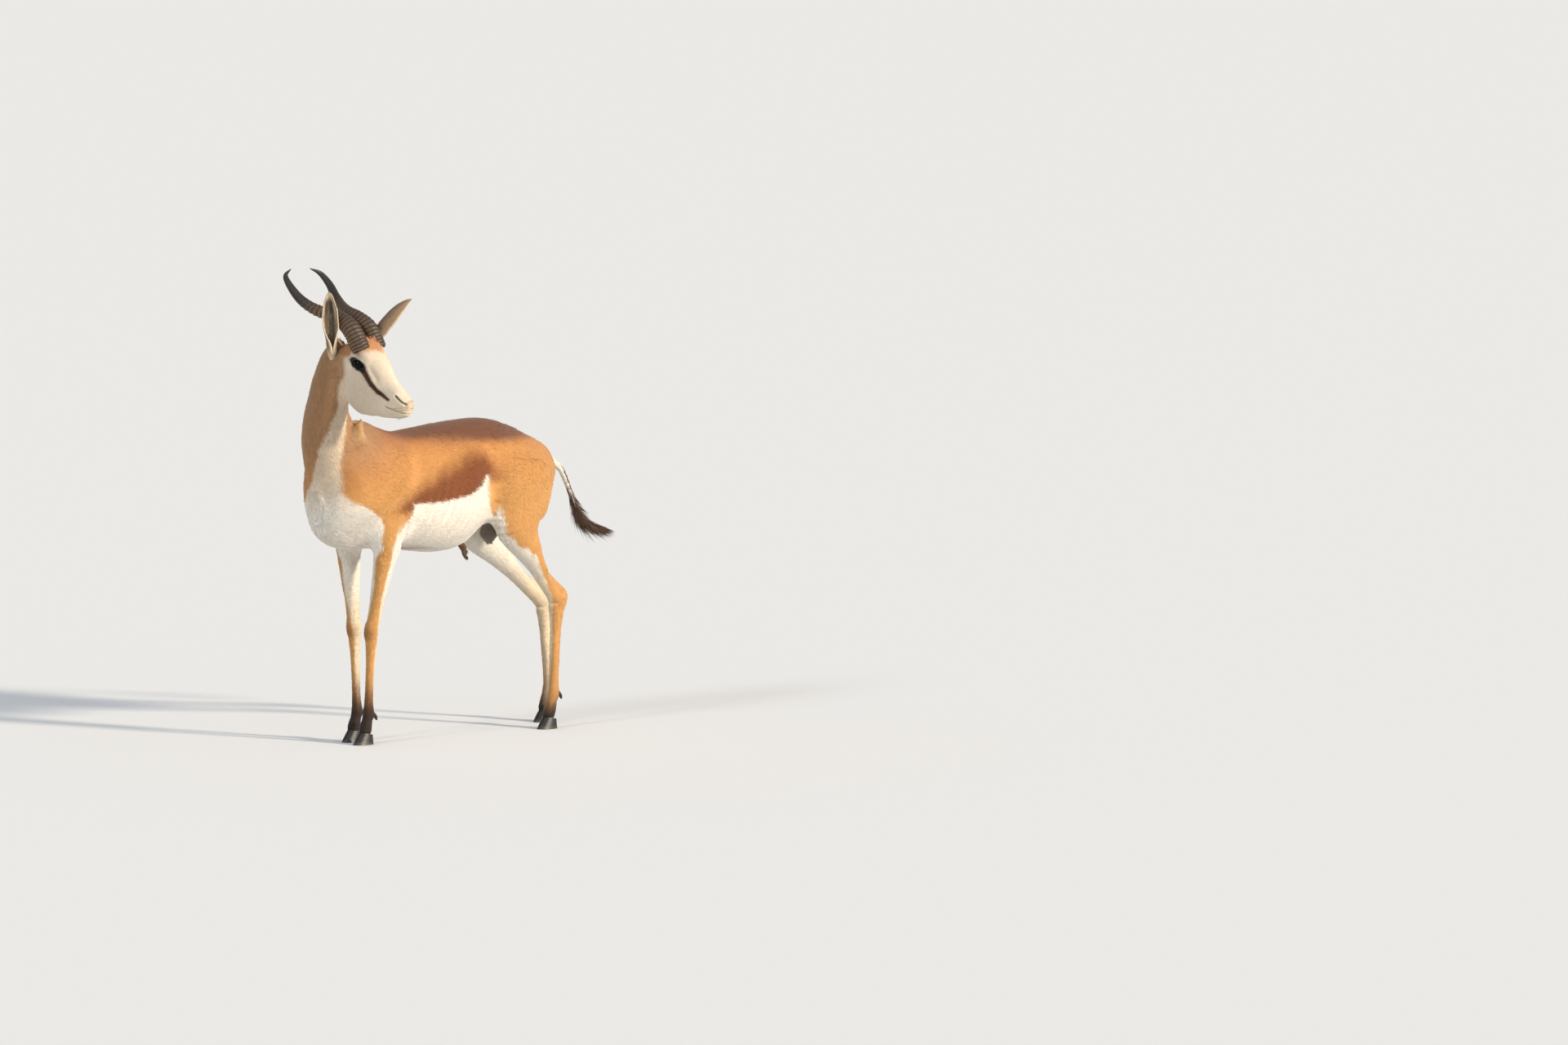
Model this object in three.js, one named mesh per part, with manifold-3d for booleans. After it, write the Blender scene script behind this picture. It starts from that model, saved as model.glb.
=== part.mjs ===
// A springbok ram, life size, standing square with its head turned to its left.
// Millimetres, +Z up. While the animal is being made, +X is the way its trunk faces, +Y is its
// left, and the floor point midway between the front hooves is zero. At the end the whole animal
// is moved so that zero is the floor point under the middle of its box.
import * as THREE from "three";
import { mergeVertices } from "three/addons/utils/BufferGeometryUtils.js";
import Module from "manifold-3d";

const wasm = await Module();
wasm.setup();

// Driving dimensions

const GAP = 0.3;            // between two pieces that touch
const WELD = 0.02;          // points nearer than this become one after a join or a cut
const CUT_BLOCK = 3000;     // edge of the blocks that part the flesh, larger than the animal

// Stations of a body: place of the centre x, y, z, then half width, height of the crown above
// the centre, depth of the keel below it, heading of the section in degrees, and how full the
// crown and the keel are (2 is an ellipse, less is more pointed, more is squarer).
const TRUNK = [
  [-640, 0, 662, 26, 20, 25, 0, 2, 2],
  [-624, 0, 657, 57, 56, 45, 0, 2, 2],
  [-590, 0, 656, 83, 83, 70, 0, 2, 2],
  [-546, 0, 658, 98, 101, 94, 0, 1.9, 2],
  [-490, 0, 660, 107, 122, 108, 0, 1.8, 2],
  [-430, 0, 655, 109, 143, 112, 0, 1.8, 2],
  [-370, 0, 645, 112, 157, 128, 0, 1.8, 2.1],
  [-310, 0, 635, 119, 165, 155, 0, 1.8, 2.2],
  [-240, 0, 630, 124, 166, 159, 0, 1.8, 2.3],
  [-170, 0, 632, 123, 158, 154, 0, 1.8, 2.3],
  [-110, 0, 638, 117, 149, 150, 0, 1.8, 2.2],
  [-50, 0, 642, 110, 153, 149, 0, 1.7, 2],
  [0, 0, 640, 104, 158, 146, 0, 1.7, 2],
  [45, 0, 634, 96, 132, 138, 0, 1.9, 2],
  [90, 0, 626, 80, 100, 120, 0, 2, 2],
  [125, 0, 618, 56, 66, 88, 0, 2, 2],
  [146, 0, 612, 26, 30, 45, 0, 2, 2],
];

const NECK = [
  [-5, 0, 650, 96, 100, 112, 0, 2, 2],
  [60, 0, 722, 84, 104, 104, 4, 2, 2],
  [104, 9, 780, 71, 84, 82, 13, 2, 2],
  [130, 26, 832, 60, 68, 66, 28, 2, 2],
  [143, 47, 882, 53, 59, 57, 45, 2, 2],
  [146, 67, 930, 51, 58, 55, 63, 2, 2],
  [139, 89, 975, 48, 61, 52, 82, 2, 2],
  [124, 112, 1004, 40, 52, 40, 96, 2, 2],
];

// The head has axes of its own: forward along the line of the mouth, left, and up, with zero
// midway between the eyes.
const HEAD_AT = [115, 166, 991];
const HEAD_HEADING = 98;
const HEAD_PITCH = 12;
const HEAD_ROLL = 1;
const HEAD = [
  [-72, 0, -8, 24, 24, 26, 0, 2, 2],
  [-60, 0, -12, 38, 42, 54, 0, 2, 2],
  [-40, 0, -12, 44, 56, 92, 0, 2.5, 2],
  [-18, 0, -10, 46, 61, 122, 0, 2.9, 1.8],
  [4, 0, -8, 46, 60, 133, 0, 2.7, 1.8],
  [24, 0, -14, 43, 57, 126, 0, 2.2, 1.7],
  [44, 0, -26, 37, 56, 112, 0, 2, 1.7],
  [64, 0, -42, 31, 55, 89, 0, 2, 1.8],
  [84, 0, -60, 26, 51, 67, 0, 2, 1.9],
  [104, 0, -72, 23.5, 46, 51, 0, 2, 2],
  [122, 0, -77, 22, 39, 42, 0, 2, 2.1],
  [138, 0, -80, 20.5, 31, 34, 0, 2, 2.3],
  [151, 0, -81, 18, 24, 26, 0, 2.1, 2.4],
  [158, 0, -81, 14, 17, 20, 0, 2.2, 2.4],
  [162, 0, -81, 8, 9, 12, 0, 2, 2.2],
];

const EYE_RADIUS = 17.5;
const EYE_AT = [2, 33, -6];
const EYE_LOOK = [0.34, 0.93, 0.12];       // the way the left eye faces
const LID_THICK = 2.2;                     // the lids are a shell over the ball of the eye
const EYE_HALF_LENGTH = 15.6;              // of the almond between the lids
const EYE_HALF_HEIGHT = 9.6;
const EYE_SLOPE = -0.18;                   // the inner corner is the lower one

const MOUTH_UP = -96;
const MOUTH_CORNER = 92;
const MOUTH_FRONT = 159;
const MOUTH_SLIT = 1.3;                    // half height of the slit
const MOUTH_DEPTH = 3.4;
const LIP_THICK = 4;
const LIP_HEIGHT = 6.5;                    // of each lip beside the slit
const NOSTRIL = [[122, -59], [130, -63.5], [138, -67.5], [147, -71]];   // forward and up
const NOSTRIL_RADIUS = 3.6;

// Each ear is turned its own way. Both are given as for a left ear.
const EAR_ROOTS = { left: [-68, 53, 4], right: [-72, 54, -8] };
const EAR_WAYS = { left: [0.37, 0.475, 0.8], right: [-0.03, 0.25, 0.968] };
const EAR_OPEN = { left: [0.33, 0.95, 0], right: [0.78, 0.6, 0] };  // the way the cup faces
const EAR_LENGTH = 179;
const EAR_STUB_RADII = [22, 20, 16, 14];   // of the root below the cup, from inside the head outwards
const EAR_ROOM = [15.2, 18, 20];           // radii of the room that the root of the cup takes in the flesh
const EAR_ROOM_LENGTH = 36;
const EAR_CUP_SHIFT = 3;                   // how far the cup leans to its open side half way up
// Stations of an ear: how far along, half width, half angle of the cup in degrees, wall.
const EAR = [
  [0, 12.5, 166, 7.5],
  [0.16, 14.2, 158, 4.8],
  [0.27, 15, 136, 3.8],
  [0.37, 17, 110, 3.4],
  [0.47, 19.8, 92, 3.2],
  [0.57, 20.8, 82, 3.1],
  [0.68, 20.2, 74, 3],
  [0.79, 17.2, 68, 2.8],
  [0.89, 12, 64, 2.4],
  [0.96, 6.4, 60, 1.9],
  [1, 1.4, 56, 1.2],
];

// The left horn's middle line on the head's own axes; the right one is its mirror image.
const HORN_PATH = [
  [-9, 31, 40], [-40, 31.5, 72], [-78, 30.5, 88], [-116, 38, 93], [-153, 54, 99],
  [-189, 67.5, 114], [-221, 75, 138], [-250, 68, 160], [-261, 38, 173],
];
const HORN_RADII = [23.4, 22.8, 19.8, 16.2, 14, 12.2, 9.6, 6.4, 1.2];
const HORN_ROOM = [26.5, 26.5, 26.5];      // radii of the room that the horn's root takes in the flesh
const HORN_ROOM_LENGTH = 60;
const PEDICLE_RIM = 0.8;                   // how far the stub under a horn stands out past it
const LEFT_HORN_LOWERED = 0.02;            // share of the way back by which the left horn lies lower
const HORN_RINGS = 19;
const HORN_RINGED = 0.68;                  // share of the horn that is ringed
const HORN_RING_HEIGHT = 0.085;            // of the horn's radius there

// Joints of the legs from the top down: shoulder, elbow, knee, fetlock and the middle of the
// coronet, or hip, stifle, hock, fetlock and coronet.
const LEFT_FRONT = [[-52, 54, 722], [-24, 78, 500], [0, 51, 288], [3, 40, 78], [13, 40, 40]];
const RIGHT_FRONT = [[-52, -54, 722], [-32, -75, 495], [-22, -40, 288], [-22, -31, 78], [-12, -31, 40]];
const LEFT_HIND = [[-492, 72, 690], [-458, 92, 530], [-613, 75, 335], [-604, 70, 92], [-590, 70, 44]];
const RIGHT_HIND = [[-510, -72, 690], [-492, -92, 510], [-698, -70, 312], [-712, -64, 92], [-699, -64, 44]];

// Sections of the legs: how far down the joints, half width, front and back of the middle.
const FRONT_SECTIONS = [
  [0, 26, 40, 42],
  [0.3, 36, 54, 56],
  [0.62, 38, 54, 58],
  [0.86, 35, 42, 50],
  [1, 31, 35, 42],
  [1.22, 25, 28, 33],
  [1.5, 20, 22, 25],
  [1.8, 16.5, 18, 19],
  [2, 17.5, 20, 17],
  [2.13, 15, 16, 16],
  [2.35, 11.5, 12.5, 13],
  [2.7, 10.8, 11.5, 12],
  [2.88, 11.8, 12, 13],
  [3, 14.5, 14, 17],
  [3.35, 14, 13, 15],
];
const HIND_SECTIONS = [
  [0, 34, 70, 66],
  [0.35, 42, 92, 94],
  [0.7, 42, 84, 103],
  [1, 38, 62, 86],
  [1.28, 32, 46, 44],
  [1.55, 24, 32, 13],
  [1.8, 18.5, 27, 21],
  [2, 20, 26, 29],
  [2.14, 16.5, 20, 22],
  [2.35, 12.5, 15.5, 16],
  [2.7, 11.8, 14, 14.5],
  [2.9, 12.6, 14, 15],
  [3, 15.5, 15, 18],
  [3.3, 14.5, 14, 15],
];

// Hooves, measured from the middle of the coronet's front-to-back line on the floor
const HOOF_TOE = 37;
const HOOF_HEEL = 22;
const HOOF_HALF_WIDTH = 19.5;
const HOOF_CLEFT = 4;
const HOOF_FRONT_HEIGHT = 36;
const HOOF_BACK_HEIGHT = 24;
const HOOF_TOE_LEAN = 22;                  // how far the toe recedes up to the coronet
const HOOF_HEEL_LEAN = 3;
const HOOF_SIDE_LEAN = 3.5;
const CORONET_INSET = 0.3;                 // the skin above the hoof stands proud of it by this much
const FETLOCK_HALF_LENGTH = 15;
const FETLOCK_HALF_WIDTH = 13.5;
// A dewclaw's middle line: behind the fetlock, off the leg's middle and up, then its radii
const DEWCLAW = [[-8, 7, 2], [-17, 8.5, -8], [-21, 9, -17]];
const DEWCLAW_RADII = [5.5, 5, 2.4];

// The fold of skin that the turned head pushes up on the left of the neck, drawn out to a point
const FOLD_PATH = [[54, 46, 736], [63, 61, 770], [69, 75, 800], [75, 90, 823], [78, 103, 841]];
const FOLD_RADII = [15, 17, 13, 8, 2];
const SCROTUM_PATH = [[-452, 0, 562], [-450, 0, 530], [-448, 0, 505], [-447, 0, 480]];
const SCROTUM_RADII = [20, 17, 24, 8];
const SHEATH_PATH = [[-338, 0, 500], [-352, 0, 482], [-361, 0, 468], [-364, 0, 450]];
const SHEATH_RADII = [12, 10.5, 8, 3.5];

// Parting planes: a point and the way its side faces
const HEAD_PLANE = [[-46, 0, -35], [0.942, 0, 0.335]];        // on the head's own axes
const HEAD_FLOOR = 838;
const NECK_PLANE = [[-8, 0, 802], [0.719, 0, 0.695]];
const ELBOW_HEIGHT = 483;
const THIGH_PLANE = [[-350, 0, 552], [-0.22, 0, -0.975]];
const THIGH_FRONT = -366;
const GROIN_HALF_WIDTH = 22;

// Tail: middle line of the dock, and the tuft at its end
const TAIL_PATH = [[-622, 0, 690], [-656, 0, 680], [-694, 0, 653], [-725, 0, 597], [-746, 4, 532], [-768, 10, 505]];
const TAIL_RADII = [13, 11, 8.5, 7, 6.5, 4];
const TAIL_ROOT_X = -646;
const TUFT_START = 0.62;                   // share of the dock above the first lock
const TUFT_LOCKS = 14;
const TUFT_REACH = [50, 96];               // length of the first lock and of the last one
const TUFT_TIP = [-858, 26, 486];          // where the longest locks end
const LOCK_HALF_WIDTH = 6.5;
const LOCK_HALF_THICK = 2.6;

const COLOURS = {
  tan: 0xc08a55,
  pale: 0xeadfce,
  horn: 0x4a4038,
  hoof: 0x1d1916,
  eye: 0x0c0908,
  tuft: 0x3a2518,
};

// Helpers for closed bodies

// Same random numbers on every run
function seeded(seed) {
  let state = seed;
  return () => {
    state = (state * 1664525 + 1013904223) % 4294967296;
    return state / 4294967296;
  };
}

// A closed body from rings of points that go anticlockwise seen against the way they follow
function skinned(rings) {
  const sides = rings[0].length;
  const points = rings.flat();
  const faces = [];
  for (let i = 0; i < rings.length - 1; i += 1) {
    for (let j = 0; j < sides; j += 1) {
      const a = i * sides + j;
      const b = i * sides + (j + 1) % sides;
      faces.push(a, b, b + sides, a, b + sides, a + sides);
    }
  }
  for (const [ring, first, turned] of [[rings[0], 0, true], [rings.at(-1), (rings.length - 1) * sides, false]]) {
    const middle = points.length;
    points.push(ring.reduce((sum, p) => sum.add(p), new THREE.Vector3()).divideScalar(sides));
    for (let j = 0; j < sides; j += 1) {
      const a = first + j;
      const b = first + (j + 1) % sides;
      faces.push(...(turned ? [middle, b, a] : [middle, a, b]));
    }
  }
  const geometry = new THREE.BufferGeometry().setFromPoints(points);
  geometry.setIndex(faces);
  return geometry;
}

// One number of a section outline: the cosine or sine, made squarer or more pointed
function bulge(value, fullness) {
  return Math.sign(value) * Math.abs(value) ** (2 / fullness);
}

// A closed body through stations, with the sections square to its middle line or to one way
function loft(stations, spans, sides, way = null) {
  const curve = (from) => new THREE.CatmullRomCurve3(
    stations.map((s) => new THREE.Vector3(s[from], s[from + 1], s[from + 2])), false, "catmullrom", 0.5);
  const middle = curve(0);
  const sizes = curve(3);
  const forms = curve(6);
  const count = (stations.length - 1) * spans;
  const rings = [];
  for (let i = 0; i <= count; i += 1) {
    const t = i / count;
    const centre = middle.getPoint(t);
    const along = way ? new THREE.Vector3(...way) : middle.getTangent(t);
    const size = sizes.getPoint(t);
    const form = forms.getPoint(t);
    const turn = THREE.MathUtils.degToRad(form.x);
    const side = new THREE.Vector3(-Math.sin(turn), Math.cos(turn), 0);
    side.addScaledVector(along, -side.dot(along)).normalize();
    const crown = along.clone().cross(side);
    const ring = [];
    for (let j = 0; j < sides; j += 1) {
      const angle = (j + 0.5) / sides * 2 * Math.PI;
      const upper = Math.sin(angle) > 0;
      const fullness = upper ? form.y : form.z;
      const reach = upper ? size.y : size.z;
      ring.push(centre.clone()
        .addScaledVector(side, size.x * bulge(Math.cos(angle), fullness))
        .addScaledVector(crown, reach * bulge(Math.sin(angle), fullness)));
    }
    rings.push(ring);
  }
  return skinned(rings);
}

// A closed round tube: each point has its own radius
function tube(points, radii, spans, sides) {
  const stations = points.map((p, i) => [...p, radii[i], radii[i], radii[i], 0, 2, 2]);
  return loft(stations, spans, sides);
}

// A geometry as a solid that can be joined and cut
function solid(geometry) {
  const bare = new THREE.BufferGeometry();
  bare.setAttribute("position", geometry.getAttribute("position").clone());
  if (geometry.index) bare.setIndex(geometry.index.clone());
  const merged = mergeVertices(bare, 1e-4);
  return new wasm.Manifold(new wasm.Mesh({
    numProp: 3,
    vertProperties: new Float32Array(merged.getAttribute("position").array),
    triVerts: new Uint32Array(merged.index.array),
  }));
}

function join(solids) {
  return solids.reduce((all, one) => all.add(one));
}

// The largest closed surface of a solid, as a geometry, with its shortest edges closed up
function largest(body) {
  const pieces = body.decompose();
  const best = pieces.reduce((a, b) => (b.volume() > a.volume() ? b : a));
  const mesh = best.getMesh();
  const places = new Float32Array(mesh.numVert * 3);
  for (let i = 0; i < mesh.numVert; i += 1) {
    places.set(mesh.vertProperties.subarray(i * mesh.numProp, i * mesh.numProp + 3), i * 3);
  }
  const geometry = new THREE.BufferGeometry();
  geometry.setAttribute("position", new THREE.BufferAttribute(places, 3));
  geometry.setIndex([...mesh.triVerts]);
  const welded = mergeVertices(geometry, WELD);
  const index = welded.index.array;
  const kept = new Map();
  for (let i = 0; i < index.length; i += 3) {
    const corners = [...index.slice(i, i + 3)];
    if (new Set(corners).size < 3) continue;
    const key = corners.toSorted((a, b) => a - b).join();
    if (kept.has(key)) kept.delete(key);
    else kept.set(key, corners);
  }
  welded.setIndex([...kept.values()].flat());
  return welded;
}

// A block that fills one side of a plane, starting a little way off it
function half(point, normal, gap) {
  const way = new THREE.Vector3(...normal).normalize();
  const block = new THREE.BoxGeometry(CUT_BLOCK, CUT_BLOCK, CUT_BLOCK);
  block.translate(0, 0, CUT_BLOCK / 2 + gap);
  block.applyQuaternion(new THREE.Quaternion().setFromUnitVectors(new THREE.Vector3(0, 0, 1), way));
  block.translate(...point);
  return solid(block);
}

// Parts a body by planes: what lies inside all of them, and the rest, a gap apart
function parted(body, planes) {
  const region = (gap) => planes.map(([p, n]) => half(p, n, gap)).reduce((a, b) => a.intersect(b));
  return [body.intersect(region(GAP / 2)), body.subtract(region(-GAP / 2))];
}

// The head's own axes as one matrix
function headMatrix() {
  const heading = THREE.MathUtils.degToRad(HEAD_HEADING);
  const pitch = THREE.MathUtils.degToRad(HEAD_PITCH);
  const roll = THREE.MathUtils.degToRad(HEAD_ROLL);
  const forward = new THREE.Vector3(
    Math.cos(heading) * Math.cos(pitch), Math.sin(heading) * Math.cos(pitch), -Math.sin(pitch));
  const level = new THREE.Vector3(-Math.sin(heading), Math.cos(heading), 0);
  const upright = forward.clone().cross(level);
  const left = level.clone().multiplyScalar(Math.cos(roll)).addScaledVector(upright, Math.sin(roll));
  const up = forward.clone().cross(left);
  return new THREE.Matrix4().makeBasis(forward, left, up).setPosition(...HEAD_AT);
}

const FORWARD = [1, 0, 0];
const GOLDEN_ANGLE = 2.4;
const SIDES = { left: 1, right: -1 };
const mirrored = (point, side) => [point[0], point[1] * side, point[2]];
const HEAD_MATRIX = headMatrix();

// Half width of the head's own loft at a place along it and a height
function headSide(forward, up) {
  const after = Math.max(1, HEAD.findIndex((s) => s[0] >= forward));
  const [a, b] = [HEAD[after - 1], HEAD[after]];
  const f = (forward - a[0]) / (b[0] - a[0]);
  const at = a.map((value, i) => value + (b[i] - value) * f);
  const rise = up - at[2];
  const [reach, fullness] = rise > 0 ? [at[4], at[7]] : [at[5], at[8]];
  const share = Math.min(1, Math.abs(rise) / reach);
  return at[3] * (1 - share ** fullness) ** (1 / fullness);
}

// The middle line of the horn on one side, and the way that it starts
function hornPath(side) {
  const lowered = side > 0 ? LEFT_HORN_LOWERED : 0;
  return HORN_PATH.map(([x, y, z]) => [x, y * side, z - lowered * (HORN_PATH[0][0] - x)]);
}

function hornWay(side) {
  const [first, second] = hornPath(side);
  return second.map((value, i) => value - first[i]);
}

// The head with its sockets, lids, lips, mouth and nostrils, on its own axes

// The opening between the lids: an almond drawn on the ball of the eye, as a bar through it
function almond(side) {
  const look = new THREE.Vector3(...mirrored(EYE_LOOK, side)).normalize();
  const along = new THREE.Vector3(1, 0, EYE_SLOPE);
  along.addScaledVector(look, -along.dot(look)).normalize();
  const over = look.clone().cross(along);
  const outline = [];
  for (let i = 0; i < 16; i += 1) {
    const angle = i / 16 * 2 * Math.PI;
    const narrow = 1 - 0.2 * Math.cos(angle) ** 2;
    outline.push(new THREE.Vector2(
      EYE_HALF_LENGTH * Math.cos(angle), EYE_HALF_HEIGHT * Math.sin(angle) * narrow));
  }
  const bar = new THREE.ExtrudeGeometry(new THREE.Shape(outline), { depth: 2 * EYE_RADIUS, bevelEnabled: false });
  bar.applyMatrix4(new THREE.Matrix4().makeBasis(along, over, look).setPosition(...mirrored(EYE_AT, side)));
  return solid(bar);
}

function eyeBall(side, radius) {
  const ball = new THREE.SphereGeometry(radius, 14, 10);
  ball.translate(...mirrored(EYE_AT, side));
  return ball;
}

// The line of the mouth: forward along one side, round the front and back along the other
function mouthLine(inset) {
  const oneSide = [];
  for (const share of [0, 0.3, 0.6, 0.85]) {
    const forward = MOUTH_CORNER + (MOUTH_FRONT - MOUTH_CORNER) * share;
    const height = MOUTH_UP + 3 * (1 - share) ** 2;
    oneSide.push([forward, headSide(forward, height) - inset, height]);
  }
  const front = [MOUTH_FRONT - inset + 1, 0, MOUTH_UP];
  return [...oneSide, front, ...oneSide.toReversed().map((p) => mirrored(p, -1))];
}

// A band along the mouth, reaching outwards and upwards from the line, thinner at its corners
function mouthBand(inset, reach, height, sides) {
  const line = new THREE.CatmullRomCurve3(mouthLine(inset).map((p) => new THREE.Vector3(...p)));
  const up = new THREE.Vector3(0, 0, 1);
  const count = 14;
  const rings = [];
  for (let i = 0; i <= count; i += 1) {
    const share = i / count;
    const out = up.clone().cross(line.getTangent(share)).normalize();
    const fade = Math.min(1, 0.4 + 3 * Math.min(share, 1 - share));
    const ring = [];
    for (let j = 0; j < sides; j += 1) {
      const angle = j / sides * 2 * Math.PI;
      ring.push(line.getPoint(share)
        .addScaledVector(out, reach * fade * Math.cos(angle))
        .addScaledVector(up, height * fade * Math.sin(angle)));
    }
    rings.push(ring);
  }
  return solid(skinned(rings));
}

// The stub of bone and skin under a horn, up to the plane where the horn starts
function pedicle(side) {
  const root = hornPath(side)[0];
  const way = hornWay(side);
  const radius = HORN_RADII[0] + PEDICLE_RIM;
  const places = [-0.9, -0.4, 0, 0.1].map((share) => root.map((value, i) => value + way[i] * share));
  return solid(tube(places, [0.3, 0.72, 1, 1].map((share) => radius * share), 1, 14));
}

// The room that a horn or an ear takes in the flesh, from its root plane outwards
function room(root, way, radii, length) {
  const from = new THREE.Vector3(...root);
  const ahead = new THREE.Vector3(...way).normalize();
  const places = radii.map((_, i) => from.clone().addScaledVector(ahead, length * i / (radii.length - 1)).toArray());
  return solid(tube(places, radii, 1, 14));
}

const hornRoom = (side) => room(hornPath(side)[0], hornWay(side), HORN_ROOM, HORN_ROOM_LENGTH);
const earRoom = (name, side) => room(
  mirrored(EAR_ROOTS[name], side), mirrored(EAR_WAYS[name], side), EAR_ROOM, EAR_ROOM_LENGTH);

// The root of an ear, from inside the head out to the place where the cup opens
function earBase(name) {
  const side = SIDES[name];
  const way = new THREE.Vector3(...mirrored(EAR_WAYS[name], side)).normalize();
  const root = new THREE.Vector3(...mirrored(EAR_ROOTS[name], side));
  const place = (along, inward) => root.clone().addScaledVector(way, along)
    .add(new THREE.Vector3(0, -side * inward, 0)).toArray();
  return solid(tube([place(-40, 22), place(-18, 8), place(0, 0), place(5, 0)], EAR_STUB_RADII, 1, 12));
}

function headFlesh() {
  let head = solid(loft(HEAD, 2, 24, FORWARD));
  for (const [name, side] of Object.entries(SIDES)) {
    head = head.add(pedicle(side)).add(earBase(name));
    head = head.add(solid(eyeBall(side, EYE_RADIUS + LID_THICK)));
    head = head.subtract(almond(side)).subtract(solid(eyeBall(side, EYE_RADIUS + GAP)));
    const nostril = NOSTRIL.map(([forward, up]) => [forward, side * (headSide(forward, up) - 0.8), up]);
    const radii = [0.5, 0.8, 1, 0.75].map((share) => share * NOSTRIL_RADIUS);
    head = head.subtract(solid(tube(nostril, radii, 2, 8)));
  }
  const lips = mouthBand(LIP_THICK * 0.55, LIP_THICK, LIP_HEIGHT, 6);
  return head.add(lips).subtract(mouthBand(0, MOUTH_DEPTH, MOUTH_SLIT, 4));
}

// Ears: a leaf bent to a cup, thick at the root, drawn out to a point

function ear(name) {
  const side = SIDES[name];
  const way = new THREE.Vector3(...mirrored(EAR_WAYS[name], side)).normalize();
  const open = new THREE.Vector3(...mirrored(EAR_OPEN[name], side));
  open.addScaledVector(way, -open.dot(way)).normalize();
  const across = way.clone().cross(open);
  const root = new THREE.Vector3(...mirrored(EAR_ROOTS[name], side));
  const curve = (a, b) => new THREE.CatmullRomCurve3(
    EAR.map((s) => new THREE.Vector3(s[a], s[b], 0)), false, "catmullrom", 0.5);
  const places = curve(0, 1);
  const forms = curve(2, 3);
  const count = (EAR.length - 1) * 2;
  const arc = 7;
  const rings = [];
  for (let i = 0; i <= count; i += 1) {
    const place = places.getPoint(i / count);
    const form = forms.getPoint(i / count);
    const spread = THREE.MathUtils.degToRad(form.x);
    const radius = place.y / Math.sin(Math.min(spread, Math.PI / 2));
    const centre = root.clone()
      .addScaledVector(way, GAP + (EAR_LENGTH - GAP) * place.x)
      .addScaledVector(open, EAR_CUP_SHIFT * Math.sin(place.x * Math.PI));
    const at = (angle, reach) => centre.clone()
      .addScaledVector(open, -reach * Math.cos(angle))
      .addScaledVector(across, reach * Math.sin(angle));
    const ring = [];
    for (let j = 0; j < arc; j += 1) {
      ring.push(at(spread * (2 * j / (arc - 1) - 1), radius));
    }
    for (let j = arc - 1; j >= 0; j -= 1) {
      ring.push(at(spread * (2 * j / (arc - 1) - 1) * 0.97, radius - form.y));
    }
    rings.push(ring.toReversed());
  }
  return cupSkin(rings, arc);
}

// Joins the rings of an ear; its two ends are closed strip by strip, because a C can't be fanned
function cupSkin(rings, arc) {
  const sides = arc * 2;
  const faces = [];
  for (let i = 0; i < rings.length - 1; i += 1) {
    for (let j = 0; j < sides; j += 1) {
      const a = i * sides + j;
      const b = i * sides + (j + 1) % sides;
      faces.push(a, b, b + sides, a, b + sides, a + sides);
    }
  }
  const last = (rings.length - 1) * sides;
  for (let j = 0; j < arc - 1; j += 1) {
    const [a, b, c, d] = [j, j + 1, sides - 2 - j, sides - 1 - j];
    faces.push(a, c, b, a, d, c);
    faces.push(last + a, last + b, last + c, last + a, last + c, last + d);
  }
  const geometry = new THREE.BufferGeometry().setFromPoints(rings.flat());
  geometry.setIndex(faces);
  return geometry;
}

// Horns: a tapering tube with raised rings on its lower part

function horn(side) {
  const line = new THREE.CatmullRomCurve3(hornPath(side).map((p) => new THREE.Vector3(...p)));
  const start = new THREE.Vector3(...hornWay(side)).normalize();
  const steps = [];
  for (let i = 0; i < HORN_RINGS; i += 1) {
    const base = i / HORN_RINGS * HORN_RINGED;
    const pitch = HORN_RINGED / HORN_RINGS;
    steps.push([base, 0], [base + pitch * 0.62, 1]);
  }
  for (let i = 0; i <= 8; i += 1) {
    steps.push([HORN_RINGED + (1 - HORN_RINGED) * i / 8, 0]);
  }
  const rings = steps.map(([share, raised]) => {
    const place = share * (HORN_PATH.length - 1);
    const low = Math.min(HORN_RADII.length - 2, Math.floor(place));
    const plain = THREE.MathUtils.lerp(HORN_RADII[low], HORN_RADII[low + 1], place - low);
    const radius = plain * (1 + HORN_RING_HEIGHT * raised * (1 - share));
    const centre = line.getPoint(share);
    const along = share === 0 ? start : line.getTangent(share);
    if (share === 0) centre.addScaledVector(start, GAP);
    const level = new THREE.Vector3(0, 1, 0);
    level.addScaledVector(along, -level.dot(along)).normalize();
    const over = along.clone().cross(level);
    const ring = [];
    for (let j = 0; j < 12; j += 1) {
      const angle = j / 12 * 2 * Math.PI;
      ring.push(centre.clone()
        .addScaledVector(level, radius * 0.96 * Math.cos(angle))
        .addScaledVector(over, radius * 1.04 * Math.sin(angle)));
    }
    return ring;
  });
  return skinned(rings);
}

// Legs and hooves

// Stations of a leg: its sections, set along the line through its joints
function legStations(joints, sections) {
  return sections.map(([down, wide, front, back]) => {
    const low = Math.min(joints.length - 2, Math.floor(down));
    const centre = joints[low].map((v, i) => THREE.MathUtils.lerp(v, joints[low + 1][i], down - low));
    return [...centre, wide, front, back, 0, 2, 2];
  });
}

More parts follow.
